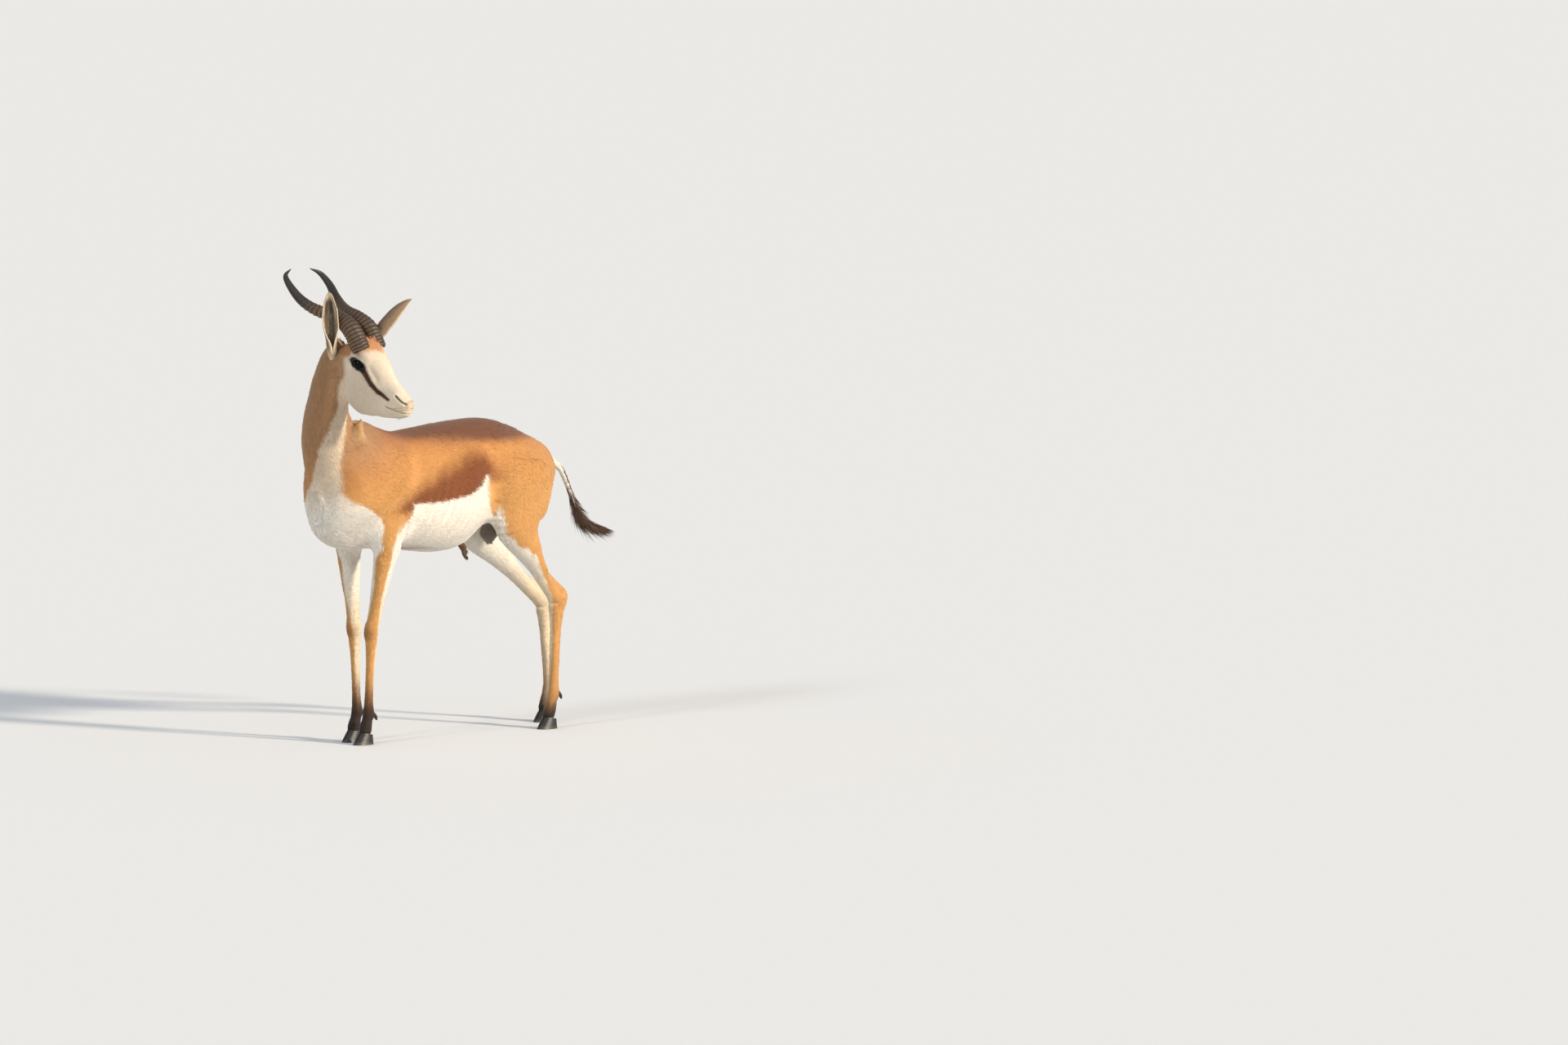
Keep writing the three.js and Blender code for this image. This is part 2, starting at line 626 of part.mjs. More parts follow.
// Outline of both halves of a hoof at one level, from the floor at 0 to the coronet at 1
function hoofOutline(level, outer, steps) {
  const toe = HOOF_TOE - HOOF_TOE_LEAN * level;
  const heel = HOOF_HEEL - HOOF_HEEL_LEAN * level;
  const wide = HOOF_HALF_WIDTH - HOOF_SIDE_LEAN * level;
  const points = [];
  for (let i = 0; i <= steps; i += 1) {
    const angle = i / steps * Math.PI;
    const x = (toe - heel) / 2 + (toe + heel) / 2 * Math.cos(angle);
    const full = Math.sin(angle) ** 0.8 * (0.9 - 0.1 * Math.cos(angle));
    points.push([x, outer + (wide - outer) * full]);
  }
  return points;
}

const hoofTop = (x) => THREE.MathUtils.mapLinear(x, -HOOF_HEEL, HOOF_TOE, HOOF_BACK_HEIGHT, HOOF_FRONT_HEIGHT);

// One half of a hoof: its wall leans back from the toe, its inner face is flat beside the cleft
function hoofHalf(centre, way) {
  const rings = [0, 0.3, 0.7, 1].map((level) => {
    const outline = hoofOutline(level, HOOF_CLEFT / 2, 9);
    const ring = outline.map(([x, y]) => new THREE.Vector3(
      centre[0] + x, centre[1] + way * y, (hoofTop(x) - GAP) * level));
    return way > 0 ? ring : ring.toReversed();
  });
  return skinned(rings);
}

// The end of the leg: from the fetlock down to the slanting face that the hooves meet
function pastern(joints) {
  const centre = new THREE.Vector3(joints.at(-1)[0], joints.at(-1)[1], 0);
  const fetlock = new THREE.Vector3(...joints.at(-2));
  const toe = HOOF_TOE - HOOF_TOE_LEAN;
  const heel = HOOF_HEEL - HOOF_HEEL_LEAN;
  const wide = HOOF_HALF_WIDTH - HOOF_SIDE_LEAN + CORONET_INSET;
  const sides = 20;
  const rings = [];
  for (const share of [0, 0.35, 0.7, 1]) {
    const ring = [];
    for (let j = 0; j < sides; j += 1) {
      const angle = (j + 0.5) / sides * 2 * Math.PI;
      const [across, along] = [Math.sin(angle), Math.cos(angle)];
      const top = new THREE.Vector3(FETLOCK_HALF_LENGTH * along, FETLOCK_HALF_WIDTH * across, 0).add(fetlock);
      const x = (toe - heel) / 2 + (toe + heel) / 2 * along;
      const end = new THREE.Vector3(x, wide * across, hoofTop(x)).add(centre);
      ring.push(top.lerp(end, share));
    }
    rings.push(ring.toReversed());
  }
  return solid(skinned(rings));
}

// The two small dewclaws behind a fetlock
function dewclaws(joints) {
  const fetlock = joints.at(-2);
  return Object.values(SIDES).map((side) => {
    const path = DEWCLAW.map((point) => mirrored(point, side).map((value, i) => value + fetlock[i]));
    return solid(tube(path, DEWCLAW_RADII, 1, 8));
  });
}

function leg(joints, sections) {
  return join([solid(loft(legStations(joints, sections), 1, 16)), pastern(joints), ...dewclaws(joints)]);
}

// Tail

// A flat lock of hair: tapered, bent from its root towards its tip
function lock(root, bend, tip) {
  const line = new THREE.QuadraticBezierCurve3(root, bend, tip);
  const shares = [0, 0.3, 0.6, 0.85, 1];
  const rings = shares.map((share) => {
    const centre = line.getPoint(share);
    const along = line.getTangent(share);
    const side = new THREE.Vector3(0, 1, 0);
    side.addScaledVector(along, -side.dot(along)).normalize();
    const over = along.clone().cross(side);
    const size = Math.max(0.12, (1 - share) ** 0.7 * (0.7 + 0.9 * share));
    return [0, 1, 2, 3].map((j) => {
      const angle = j / 4 * 2 * Math.PI;
      return centre.clone()
        .addScaledVector(side, LOCK_HALF_WIDTH * size * Math.cos(angle))
        .addScaledVector(over, LOCK_HALF_THICK * size * Math.sin(angle));
    });
  });
  return solid(skinned(rings));
}

function tail() {
  const random = seeded(7);
  const dock = solid(tube(TAIL_PATH, TAIL_RADII, 2, 10));
  const line = new THREE.CatmullRomCurve3(TAIL_PATH.map((p) => new THREE.Vector3(...p)), false, "catmullrom", 0.5);
  const locks = [];
  for (let i = 0; i < TUFT_LOCKS; i += 1) {
    const share = i / (TUFT_LOCKS - 1);
    const place = THREE.MathUtils.lerp(TUFT_START, 0.99, share);
    const root = line.getPoint(place);
    const along = line.getTangent(place);
    const around = i * GOLDEN_ANGLE;
    const reach = THREE.MathUtils.lerp(...TUFT_REACH, share) * (1 + 0.15 * random());
    const spread = [-0.5 + 0.28 * Math.cos(around), 0.3 * Math.sin(around), 0.05 * Math.cos(around)];
    const way = along.clone().add(new THREE.Vector3(...spread)).normalize();
    const end = root.clone().addScaledVector(way, reach);
    end.lerp(new THREE.Vector3(...TUFT_TIP), 0.12 + 0.85 * share ** 3);
    const bend = root.clone().addScaledVector(along, reach * 0.45);
    locks.push(lock(root, bend, end));
  }
  return join([dock, ...locks]);
}

// The flesh: made whole, then parted by thin cuts

const rooms = Object.entries(SIDES).flatMap(([name, side]) => [hornRoom(side), earRoom(name, side)]);
const flesh = join([
  solid(loft(TRUNK, 2, 24, FORWARD)),
  solid(loft(NECK, 2, 22)),
  headFlesh().transform(HEAD_MATRIX.elements),
  leg(LEFT_FRONT, FRONT_SECTIONS),
  leg(RIGHT_FRONT, FRONT_SECTIONS),
  leg(LEFT_HIND, HIND_SECTIONS),
  leg(RIGHT_HIND, HIND_SECTIONS),
  solid(tube(FOLD_PATH, FOLD_RADII, 1, 8)),
  solid(tube(SCROTUM_PATH, SCROTUM_RADII, 3, 14)),
  solid(tube(SHEATH_PATH, SHEATH_RADII, 2, 10)),
]).subtract(join(rooms).transform(HEAD_MATRIX.elements));

function planeOnHead([point, normal]) {
  const place = new THREE.Vector3(...point).applyMatrix4(HEAD_MATRIX);
  const way = new THREE.Vector3(...normal).transformDirection(HEAD_MATRIX);
  return [place.toArray(), way.toArray()];
}

const material = (color, roughness = 0.85) => new THREE.MeshStandardMaterial({ color, roughness, metalness: 0 });
const materials = {
  coat: material(COLOURS.tan),
  pale: material(COLOURS.pale),
  horn: material(COLOURS.horn, 0.6),
  hoof: material(COLOURS.hoof, 0.45),
  eye: material(COLOURS.eye, 0.12),
  tuft: material(COLOURS.tuft),
};

const springbok = new THREE.Group();

function piece(name, geometry, finish, group = springbok) {
  geometry.computeVertexNormals();
  const mesh = new THREE.Mesh(geometry, finish);
  mesh.name = name;
  group.add(mesh);
}

let rest = flesh;

function partOff(name, planes, finish) {
  const [inside, outside] = parted(rest, planes);
  piece(name, largest(inside), finish);
  rest = outside;
}

partOff("head", [planeOnHead(HEAD_PLANE), [[0, 0, HEAD_FLOOR], [0, 0, 1]]], materials.pale);
partOff("neck", [NECK_PLANE], materials.coat);
for (const [name, side] of Object.entries(SIDES)) {
  const beside = [[0, side * GROIN_HALF_WIDTH, 0], [0, side, 0]];
  const elbow = [[0, 0, ELBOW_HEIGHT], [0, 0, -1]];
  partOff(`${name}_front_leg`, [elbow, beside, [[-130, 0, 0], [1, 0, 0]]], materials.coat);
  partOff(`${name}_hind_leg`, [THIGH_PLANE, beside, [[THIGH_FRONT, 0, 0], [-1, 0, 0]]], materials.coat);
}
const tailRoot = [[TAIL_ROOT_X, 0, 0], [-1, 0, 0]];
piece("torso", largest(rest.subtract(half(...tailRoot, 0))), materials.coat);
piece("tail", largest(tail().intersect(half(...tailRoot, GAP))), materials.tuft);

// What sits on the head, in a group that is turned as the head is

const onHead = new THREE.Group();
onHead.applyMatrix4(HEAD_MATRIX);
springbok.add(onHead);
for (const [name, side] of Object.entries(SIDES)) {
  piece(`${name}_eye`, eyeBall(side, EYE_RADIUS), materials.eye, onHead);
  piece(`${name}_ear`, ear(name), materials.coat, onHead);
  piece(`${name}_horn`, horn(side), materials.horn, onHead);
}

for (const [name, joints] of Object.entries({
  left_front: LEFT_FRONT, right_front: RIGHT_FRONT, left_hind: LEFT_HIND, right_hind: RIGHT_HIND,
})) {
  const outward = Math.sign(joints[0][1]);
  piece(`${name}_outer_hoof`, hoofHalf(joints.at(-1), outward), materials.hoof);
  piece(`${name}_inner_hoof`, hoofHalf(joints.at(-1), -outward), materials.hoof);
}

// The origin: on the floor, under the middle of the animal's box

const box = new THREE.Box3().setFromObject(springbok);
springbok.position.set(-(box.min.x + box.max.x) / 2, -(box.min.y + box.max.y) / 2, -box.min.z);
springbok.updateMatrixWorld(true);

export default springbok;
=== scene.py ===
# %% [markdown]
# # A springbok ram, life size
#
# This notebook dresses a still model of a springbok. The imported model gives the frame: where each
# part is and how large. Over it come one skin, a coat of small mesh tufts, and separate horns,
# eyes, ears and hooves. Every shape is worked out as a surface with numpy, in metres.

import bpy
import numpy as np
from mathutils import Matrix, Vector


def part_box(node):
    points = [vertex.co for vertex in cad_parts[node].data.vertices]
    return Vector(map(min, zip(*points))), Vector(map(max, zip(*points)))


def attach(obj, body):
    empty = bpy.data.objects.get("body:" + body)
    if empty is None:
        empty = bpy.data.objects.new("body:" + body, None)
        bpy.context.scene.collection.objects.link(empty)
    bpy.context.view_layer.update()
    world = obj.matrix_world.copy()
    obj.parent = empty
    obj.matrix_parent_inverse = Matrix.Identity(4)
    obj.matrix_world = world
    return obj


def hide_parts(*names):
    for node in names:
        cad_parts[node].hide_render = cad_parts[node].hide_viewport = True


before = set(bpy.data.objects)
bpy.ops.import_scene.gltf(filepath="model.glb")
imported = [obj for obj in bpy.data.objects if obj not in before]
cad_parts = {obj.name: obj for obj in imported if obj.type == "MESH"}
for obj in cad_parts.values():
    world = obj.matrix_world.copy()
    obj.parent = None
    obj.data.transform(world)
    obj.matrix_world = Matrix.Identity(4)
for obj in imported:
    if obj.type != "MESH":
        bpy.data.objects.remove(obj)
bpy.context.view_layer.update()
MM = 0.001

# %% [markdown]
# ## Sizes of the body
#
# The animal is measured in its own axes, in millimetres: x the way the trunk faces, y to its left,
# z up, and zero on the floor midway between the front hooves. A body is a row of stations. Each
# gives the place of its centre, the half width, how far the crown rises above the centre and the
# keel sinks below it, the heading of the section in degrees, and how full crown and keel are
# (2 is an ellipse, more is squarer). The solids were made from the same stations.

# %% Stations of trunk, neck and head
TRUNK = [
    [-640, 0, 662, 26, 20, 25, 0, 2, 2],
    [-624, 0, 657, 57, 56, 45, 0, 2, 2],
    [-590, 0, 656, 83, 83, 70, 0, 2, 2],
    [-546, 0, 658, 98, 101, 94, 0, 1.9, 2],
    [-490, 0, 660, 107, 122, 108, 0, 1.8, 2],
    [-430, 0, 655, 109, 143, 112, 0, 1.8, 2],
    [-370, 0, 645, 112, 157, 128, 0, 1.8, 2.1],
    [-310, 0, 635, 119, 165, 155, 0, 1.8, 2.2],
    [-240, 0, 630, 124, 166, 159, 0, 1.8, 2.3],
    [-170, 0, 632, 123, 158, 154, 0, 1.8, 2.3],
    [-110, 0, 638, 117, 149, 150, 0, 1.8, 2.2],
    [-50, 0, 642, 110, 153, 149, 0, 1.7, 2],
    [0, 0, 640, 104, 158, 146, 0, 1.7, 2],
    [45, 0, 634, 96, 132, 138, 0, 1.9, 2],
    [90, 0, 626, 80, 100, 120, 0, 2, 2],
    [125, 0, 618, 56, 66, 88, 0, 2, 2],
    [146, 0, 612, 26, 30, 45, 0, 2, 2],
]
NECK = [
    [-5, 0, 650, 96, 100, 112, 0, 2, 2],
    [60, 0, 722, 84, 104, 104, 4, 2, 2],
    [104, 9, 780, 71, 84, 82, 13, 2, 2],
    [130, 26, 832, 60, 68, 66, 28, 2, 2],
    [143, 47, 882, 53, 59, 57, 45, 2, 2],
    [146, 67, 930, 51, 58, 55, 63, 2, 2],
    [139, 89, 975, 48, 61, 52, 82, 2, 2],
    [124, 112, 1004, 40, 52, 40, 96, 2, 2],
]
HEAD = [
    [-72, 0, -8, 24, 24, 26, 0, 2, 2],
    [-60, 0, -12, 38, 42, 54, 0, 2, 2],
    [-40, 0, -12, 44, 56, 92, 0, 2.5, 2],
    [-18, 0, -10, 46, 61, 122, 0, 2.9, 1.8],
    [4, 0, -8, 46, 60, 133, 0, 2.7, 1.8],
    [24, 0, -14, 43, 57, 126, 0, 2.2, 1.7],
    [44, 0, -26, 37, 56, 112, 0, 2, 1.7],
    [64, 0, -42, 31, 55, 89, 0, 2, 1.8],
    [84, 0, -60, 26, 51, 67, 0, 2, 1.9],
    [104, 0, -72, 23.5, 46, 51, 0, 2, 2],
    [122, 0, -77, 22, 39, 42, 0, 2, 2.1],
    [138, 0, -80, 20.5, 31, 34, 0, 2, 2.3],
    [151, 0, -81, 18, 24, 26, 0, 2.1, 2.4],
    [158, 0, -81, 14, 17, 20, 0, 2.2, 2.4],
    [162, 0, -81, 8, 9, 12, 0, 2, 2.2],
]

# %% Joints and sections of the legs
# From the top down: shoulder, elbow, knee, fetlock and coronet, or hip, stifle, hock and so on.
JOINTS = {
    "left_front": [[-52, 54, 722], [-24, 78, 500], [0, 51, 288], [3, 40, 78], [13, 40, 40]],
    "right_front": [[-52, -54, 722], [-32, -75, 495], [-22, -40, 288], [-22, -31, 78], [-12, -31, 40]],
    "left_hind": [[-492, 72, 690], [-458, 92, 530], [-613, 75, 335], [-604, 70, 92], [-590, 70, 44]],
    "right_hind": [[-510, -72, 690], [-492, -92, 510], [-698, -70, 312], [-712, -64, 92], [-699, -64, 44]],
}
# How far down the joints, half width, and how far the front and the back lie off the middle
FRONT_SECTIONS = [
    [0, 26, 40, 42], [0.3, 36, 54, 56], [0.62, 38, 54, 58], [0.86, 35, 42, 50], [1, 31, 35, 42],
    [1.22, 25, 28, 33], [1.5, 20, 22, 25], [1.8, 16.5, 18, 19], [2, 17.5, 20, 17], [2.13, 15, 16, 16],
    [2.35, 11.5, 12.5, 13], [2.7, 10.8, 11.5, 12], [2.88, 11.8, 12, 13], [3, 14.5, 14, 17],
    [3.4, 14, 13, 15.5], [3.8, 15.6, 15, 17.5], [4.1, 15.8, 15.5, 18], [4.3, 13, 13, 15],
]
HIND_SECTIONS = [
    [0, 34, 70, 66], [0.35, 42, 92, 94], [0.7, 42, 84, 103], [1, 38, 62, 86], [1.28, 32, 46, 44],
    [1.55, 24, 32, 13], [1.8, 18.5, 27, 21], [2, 20, 26, 29], [2.14, 16.5, 20, 22],
    [2.35, 12.5, 15.5, 16], [2.7, 11.8, 14, 14.5], [2.9, 12.6, 14, 15], [3, 15.5, 15, 18],
    [3.4, 14.5, 14, 16], [3.8, 15.6, 15, 17.5], [4.1, 15.8, 15.5, 18], [4.3, 13, 13, 15],
]
# Small bodies that are round tubes: middle line, radii, and the width of the blend in metres. The
# fold is skin that the turned head pushes up on the left of the neck.
SMALL_BODIES = {
    "fold": ([[54, 46, 736], [63, 61, 770], [69, 75, 800], [75, 90, 823], [78, 103, 841]],
             [15, 17, 13, 7.5, 2.5], 0.04),
    "scrotum": ([[-452, 0, 562], [-450, 0, 530], [-448, 0, 505], [-447, 0, 480]], [20, 17, 24, 8], 0.012),
    "sheath": ([[-338, 0, 500], [-352, 0, 482], [-361, 0, 468], [-364, 0, 450]], [12, 10.5, 8, 3.5], 0.02),
}
SIDES = {"left": 1, "right": -1}

# %% [markdown]
# ## Axes of the head
#
# The head has axes of its own: forward along the line of the mouth, left and up, with zero
# midway between the eyes. A matrix with these three ways as columns carries points from the head
# to the body. The frame's own zero lies elsewhere, so the left eye's box in the frame tells how
# far the body has to be moved.

# %% Head axes and the place of the body in the frame
HEAD_AT = np.array([115, 166, 991]) * MM
HEAD_HEADING, HEAD_PITCH, HEAD_ROLL = np.radians([98, 12, 1])
EYE_AT = np.array([2, 33, -6]) * MM


def head_axes():
    """Columns are the head's forward, left and up: forward is turned by the heading and dipped by the
    pitch, and left is level, then rolled about forward."""
    forward = np.array([np.cos(HEAD_HEADING) * np.cos(HEAD_PITCH),
                        np.sin(HEAD_HEADING) * np.cos(HEAD_PITCH), -np.sin(HEAD_PITCH)])
    level = np.array([-np.sin(HEAD_HEADING), np.cos(HEAD_HEADING), 0])
    left = level * np.cos(HEAD_ROLL) + np.cross(forward, level) * np.sin(HEAD_ROLL)
    return np.stack([forward, left, np.cross(forward, left)], 1)


HEAD_AXES = head_axes()


def from_head(points):
    """Points on the head's axes, as points on the body's axes"""
    return HEAD_AT + np.asarray(points) @ HEAD_AXES.T


def to_head(points):
    """Points on the body's axes, as points on the head's axes"""
    return (points - HEAD_AT) @ HEAD_AXES


def mirrored(point, side):
    """A point given for the left, on the side asked for"""
    return np.asarray(point, float) * [1, side, 1]


eye_box = np.array([list(corner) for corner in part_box("left_eye")])
HOME = eye_box.mean(0) - from_head(EYE_AT)
print("the body's zero in the frame", np.round(HOME, 4).tolist())

# %% [markdown]
# ## Camera, light and floor
#
# The photograph was taken from far away with a long lens, from the front left of the animal and
# from a little above its back. So the camera stands 60 m off and a long lens brings the animal
# close, which keeps the picture almost free of perspective. A wide, low sun lamp gives a soft key
# light, a second one from the other side opens the shadows, and a pale world fills the rest.

# %% Camera
VIEW_AZIMUTH, VIEW_ELEVATION = np.radians([137, 5.5])
CAMERA_DISTANCE = 60.0
METRES_PER_PIXEL = 0.00207             # at the animal, in the 1920 pixels wide photograph
FRAME_MIDDLE = (960, 640)
ZERO_PIXEL = (439, 910)                # where the body's zero shows in the photograph
SENSOR = 36.0

toward = np.array([np.sin(VIEW_AZIMUTH) * np.cos(VIEW_ELEVATION),
                   -np.cos(VIEW_AZIMUTH) * np.cos(VIEW_ELEVATION), np.sin(VIEW_ELEVATION)])
rightward = np.array([np.cos(VIEW_AZIMUTH), np.sin(VIEW_AZIMUTH), 0])
upward = np.cross(toward, rightward)
aim = HOME + METRES_PER_PIXEL * ((FRAME_MIDDLE[0] - ZERO_PIXEL[0]) * rightward
                                 + (ZERO_PIXEL[1] - FRAME_MIDDLE[1]) * upward)

camera_data = bpy.data.cameras.new("camera")
camera = bpy.data.objects.new("camera", camera_data)
bpy.context.collection.objects.link(camera)
camera_data.sensor_width = SENSOR
camera_data.lens = SENSOR * CAMERA_DISTANCE / (METRES_PER_PIXEL * 2 * FRAME_MIDDLE[0])
camera_data.clip_end = 400
camera.location = aim + toward * CAMERA_DISTANCE
camera.rotation_mode = "QUATERNION"
camera.rotation_quaternion = Vector(-toward).to_track_quat("-Z", "Y")
bpy.context.scene.camera = camera

# %% Light
def sun(name, azimuth, elevation, strength, soft_angle, colour):
    """A sun lamp that stands at an azimuth (0 is behind a camera that looks along +Y) and an elevation."""
    lamp = bpy.data.lights.new(name, "SUN")
    lamp.energy = strength
    lamp.angle = np.radians(soft_angle)
    lamp.color = colour
    place = bpy.data.objects.new(name, lamp)
    bpy.context.collection.objects.link(place)
    a, e = np.radians([azimuth, elevation])
    back = Vector((np.sin(a) * np.cos(e), -np.cos(a) * np.cos(e), np.sin(e)))
    place.rotation_mode = "QUATERNION"
    place.rotation_quaternion = (-back).to_track_quat("-Z", "Y")


sun("key", 196, 22, 4.0, 6, (1.0, 0.89, 0.75))
sun("fill", 100, 30, 0.75, 10, (0.86, 0.93, 1.0))
world = bpy.data.worlds.new("studio")
world.use_nodes = True
world.node_tree.nodes["Background"].inputs["Color"].default_value = (0.86, 0.92, 1.0, 1)
world.node_tree.nodes["Background"].inputs["Strength"].default_value = 0.55
bpy.context.scene.world = world
bpy.context.scene.view_settings.view_transform = "Standard"

# %% Helpers that put numpy arrays into meshes
def make_mesh(name, points, faces, smooth=True):
    """A mesh object from points on the body's axes and faces that all have the same number of corners."""
    faces = np.asarray(faces, np.int32)
    sides = faces.shape[1]
    mesh = bpy.data.meshes.new(name)
    mesh.vertices.add(len(points))
    mesh.vertices.foreach_set("co", (points + HOME).astype(np.float32).ravel())
    mesh.loops.add(faces.size)
    mesh.loops.foreach_set("vertex_index", faces.ravel())
    mesh.polygons.add(len(faces))
    mesh.polygons.foreach_set("loop_start", np.arange(0, faces.size, sides, dtype=np.int32))
    mesh.polygons.foreach_set("use_smooth", np.full(len(faces), smooth))
    mesh.update(calc_edges=True)
    thing = bpy.data.objects.new(name, mesh)
    bpy.context.collection.objects.link(thing)
    return thing


def give_colours(thing, colours):
    """Stores one colour per point in the attribute that the materials read."""
    layer = thing.data.color_attributes.new("Markings", "FLOAT_COLOR", "POINT")
    rgba = np.concatenate([colours, np.ones((len(colours), 1))], 1)
    layer.data.foreach_set("color", rgba.astype(np.float32).ravel())


def grid_faces(rows, sides, first=0):
    """Four-cornered faces of a closed tube of rows of points, each row with the same number of sides."""
    i = np.arange(rows - 1)[:, None] * sides
    j = np.arange(sides)
    k = (j + 1) % sides
    return (first + np.stack([i + j, i + sides + j, i + sides + k, i + k], -1)).reshape(-1, 4)


def cut_in_two(quads):
    """Two triangles for each four-cornered face"""
    return np.concatenate([quads[:, [0, 1, 2]], quads[:, [0, 2, 3]]])


def closed_tube(rows, sides):
    """Triangles of a tube that a fan closes at each end; the middles of the fans follow the rows."""
    j = np.arange(sides)
    k = (j + 1) % sides
    first = np.stack([j, k, np.full(sides, rows * sides)], 1)
    last = np.stack([k, j, np.full(sides, rows * sides + 1)], 1)
    last[:, :2] += (rows - 1) * sides
    return np.concatenate([cut_in_two(grid_faces(rows, sides)), first, last])


def outward(points, faces):
    """The triangles of a closed surface, turned over if the volume inside them comes out below zero"""
    a, b, c = (points[faces[:, i]] - points.mean(0) for i in range(3))
    return faces if (a * np.cross(b, c)).sum() > 0 else faces[:, ::-1]


# %% [markdown]
# ## A surface carried along a line
#
# Trunk, neck, head and legs are each an outline that is carried along a middle line and changes
# on the way. The stations are joined by a smooth cubic, so a few of them are enough. From the
# same rows of numbers come the tubes that start the skin and the distances that shape it.

# %% Curves through stations
def spline(rows, spans):
    """A smooth curve through rows of numbers. Between two rows it is the cubic whose slope at each row
    is half the difference of the rows on both sides of it; the ends are continued by reflection."""
    rows = np.asarray(rows, float)
    held = np.vstack([2 * rows[0] - rows[1], rows, 2 * rows[-1] - rows[-2]])
    t = np.linspace(0, len(rows) - 1, (len(rows) - 1) * spans + 1)
    i = np.minimum(t.astype(int), len(rows) - 2)
    u = (t - i)[:, None]
    slope_a, slope_b = (held[i + 2] - held[i]) / 2, (held[i + 3] - held[i + 1]) / 2
    return ((2 * u**3 - 3 * u**2 + 1) * held[i + 1] + (u**3 - 2 * u**2 + u) * slope_a
            + (3 * u**2 - 2 * u**3) * held[i + 2] + (u**3 - u**2) * slope_b)


def ramp(value, low, high):
    """Goes smoothly from 0 at low to 1 at high"""
    t = np.clip((value - low) / (high - low), 0, 1)
    return t * t * (3 - 2 * t)


def unit(v):
    """Vectors scaled to length one"""
    return v / np.maximum(np.linalg.norm(v, axis=-1, keepdims=True), 1e-12)


def square(ways, axes):
    """Ways made square to axes of length one, and scaled to length one"""
    return unit(ways - (ways * axes).sum(-1, keepdims=True) * axes)


def run_along(line):
    """Length of a line from its start to each of its points"""
    return np.concatenate([[0], np.cumsum(np.linalg.norm(np.diff(line, axis=0), axis=1))])


def sweep(stations, spans, way=None):
    """Rows of a swept body: its middle line, the ways along, to the side and to the crown at each row,
    and the section's sizes. Where a way is given, all sections are square to it."""
    rows = spline(stations, spans)
    rows[:, :6] *= MM
    centre = rows[:, :3]
    along = np.tile(way, (len(rows), 1)) if way is not None else unit(np.gradient(centre, axis=0))
    turn = np.radians(rows[:, 6])
    side = np.stack([-np.sin(turn), np.cos(turn), 0 * turn], 1)
    side = square(side, along)
    return {"centre": centre, "along": along, "side": side, "crown": np.cross(along, side),
            "wide": rows[:, 3], "up": rows[:, 4], "down": rows[:, 5],
            "full_up": rows[:, 7], "full_down": rows[:, 8], "run": run_along(centre),
            "straight": None if way is None else np.asarray(way, float)}


def on_head(body):
    """A sweep measured on the head's axes, set on the body's axes"""
    moved = dict(body, centre=from_head(body["centre"]))
    for key in ("along", "side", "crown"):
        moved[key] = body[key] @ HEAD_AXES.T
    moved["straight"] = HEAD_AXES[:, 0]
    return moved


def round_path(path, radii):
    """Stations of a round tube"""
    return [[*p, r, r, r, 0, 2, 2] for p, r in zip(path, radii)]


def leg_stations(joints, sections):
    """Stations of a leg: its sections, set along the line through its joints"""
    joints = np.array(joints, float)
    rows = []
    for down, wide, front, back in sections:
        low = min(len(joints) - 2, int(down))
        centre = joints[low] + (joints[low + 1] - joints[low]) * (down - low)
        rows.append([*centre, wide, front, back, 0, 2, 2])
    return rows


FORWARD = np.array([1.0, 0, 0])
HORN_ROOT, HORN_WAY = np.array([-9, 31, 40]), np.array([-31, 0.5, 32])


def pedicle(side):
    """The stub of bone and skin under a horn, thin inside the head and as wide as the horn at its end"""
    shares, radii = [-0.9, -0.4, 0, 0.12], [12, 24, 25.5, 25]
    stub = [mirrored(HORN_ROOT + HORN_WAY * share, side) for share in shares]
    return on_head(sweep(round_path(stub, radii), 6))


PARTS = {
    "trunk": sweep(TRUNK, 8, FORWARD),
    "neck": sweep(NECK, 14),
    "head": on_head(sweep(HEAD, 8, FORWARD)),
}
for leg, joints in JOINTS.items():
    sections = FRONT_SECTIONS if "front" in leg else HIND_SECTIONS
    PARTS[leg] = sweep(leg_stations(joints, sections), 8)
for name, (path, radii, _) in SMALL_BODIES.items():
    PARTS[name] = sweep(round_path(path, radii), 8)
for name, side in SIDES.items():
    PARTS[name + "_pedicle"] = pedicle(side)
print("rows of the bodies", {name: len(part["run"]) for name, part in PARTS.items()})

# %% [markdown]
# ## One body from many
#
# Real flesh has no seams where a leg meets the trunk. So the bodies are joined as distances: each
# sweep says how far a point is from its surface, and a soft minimum of these distances rounds the
# creases off. The surface of the animal is where the joined distance is zero.

# %% Distance from a swept body
def nearest_row(part, points):
    """Where along a sweep points lie, as a row number with a fraction. On a straight sweep the place
    along its way tells it. On a bent one it is the nearest row, corrected by the offset along it."""
    rows = np.arange(len(part["run"]))
    if part["straight"] is not None:
        return np.interp(points @ part["straight"], part["centre"] @ part["straight"], rows)
    centre = part["centre"]
    reach = (centre**2).sum(1) - 2 * points @ centre.T
    near = reach.argmin(1)
    step = np.gradient(part["run"])
    beyond = ((points - centre[near]) * part["along"][near]).sum(1) / step[near]
    return np.clip(near + np.clip(beyond, -0.5, 0.5), 0, rows[-1])


def reader(part, row):
    """Reads the values of a sweep at rows with a fraction, in a straight line from row to row."""
    low = np.minimum(row.astype(int), len(part["run"]) - 2)
    f = (row - low)[:, None]

    def at(key):
        values = part[key].reshape(len(part["run"]), -1)
        return values[low] * (1 - f) + values[low + 1] * f

    return at


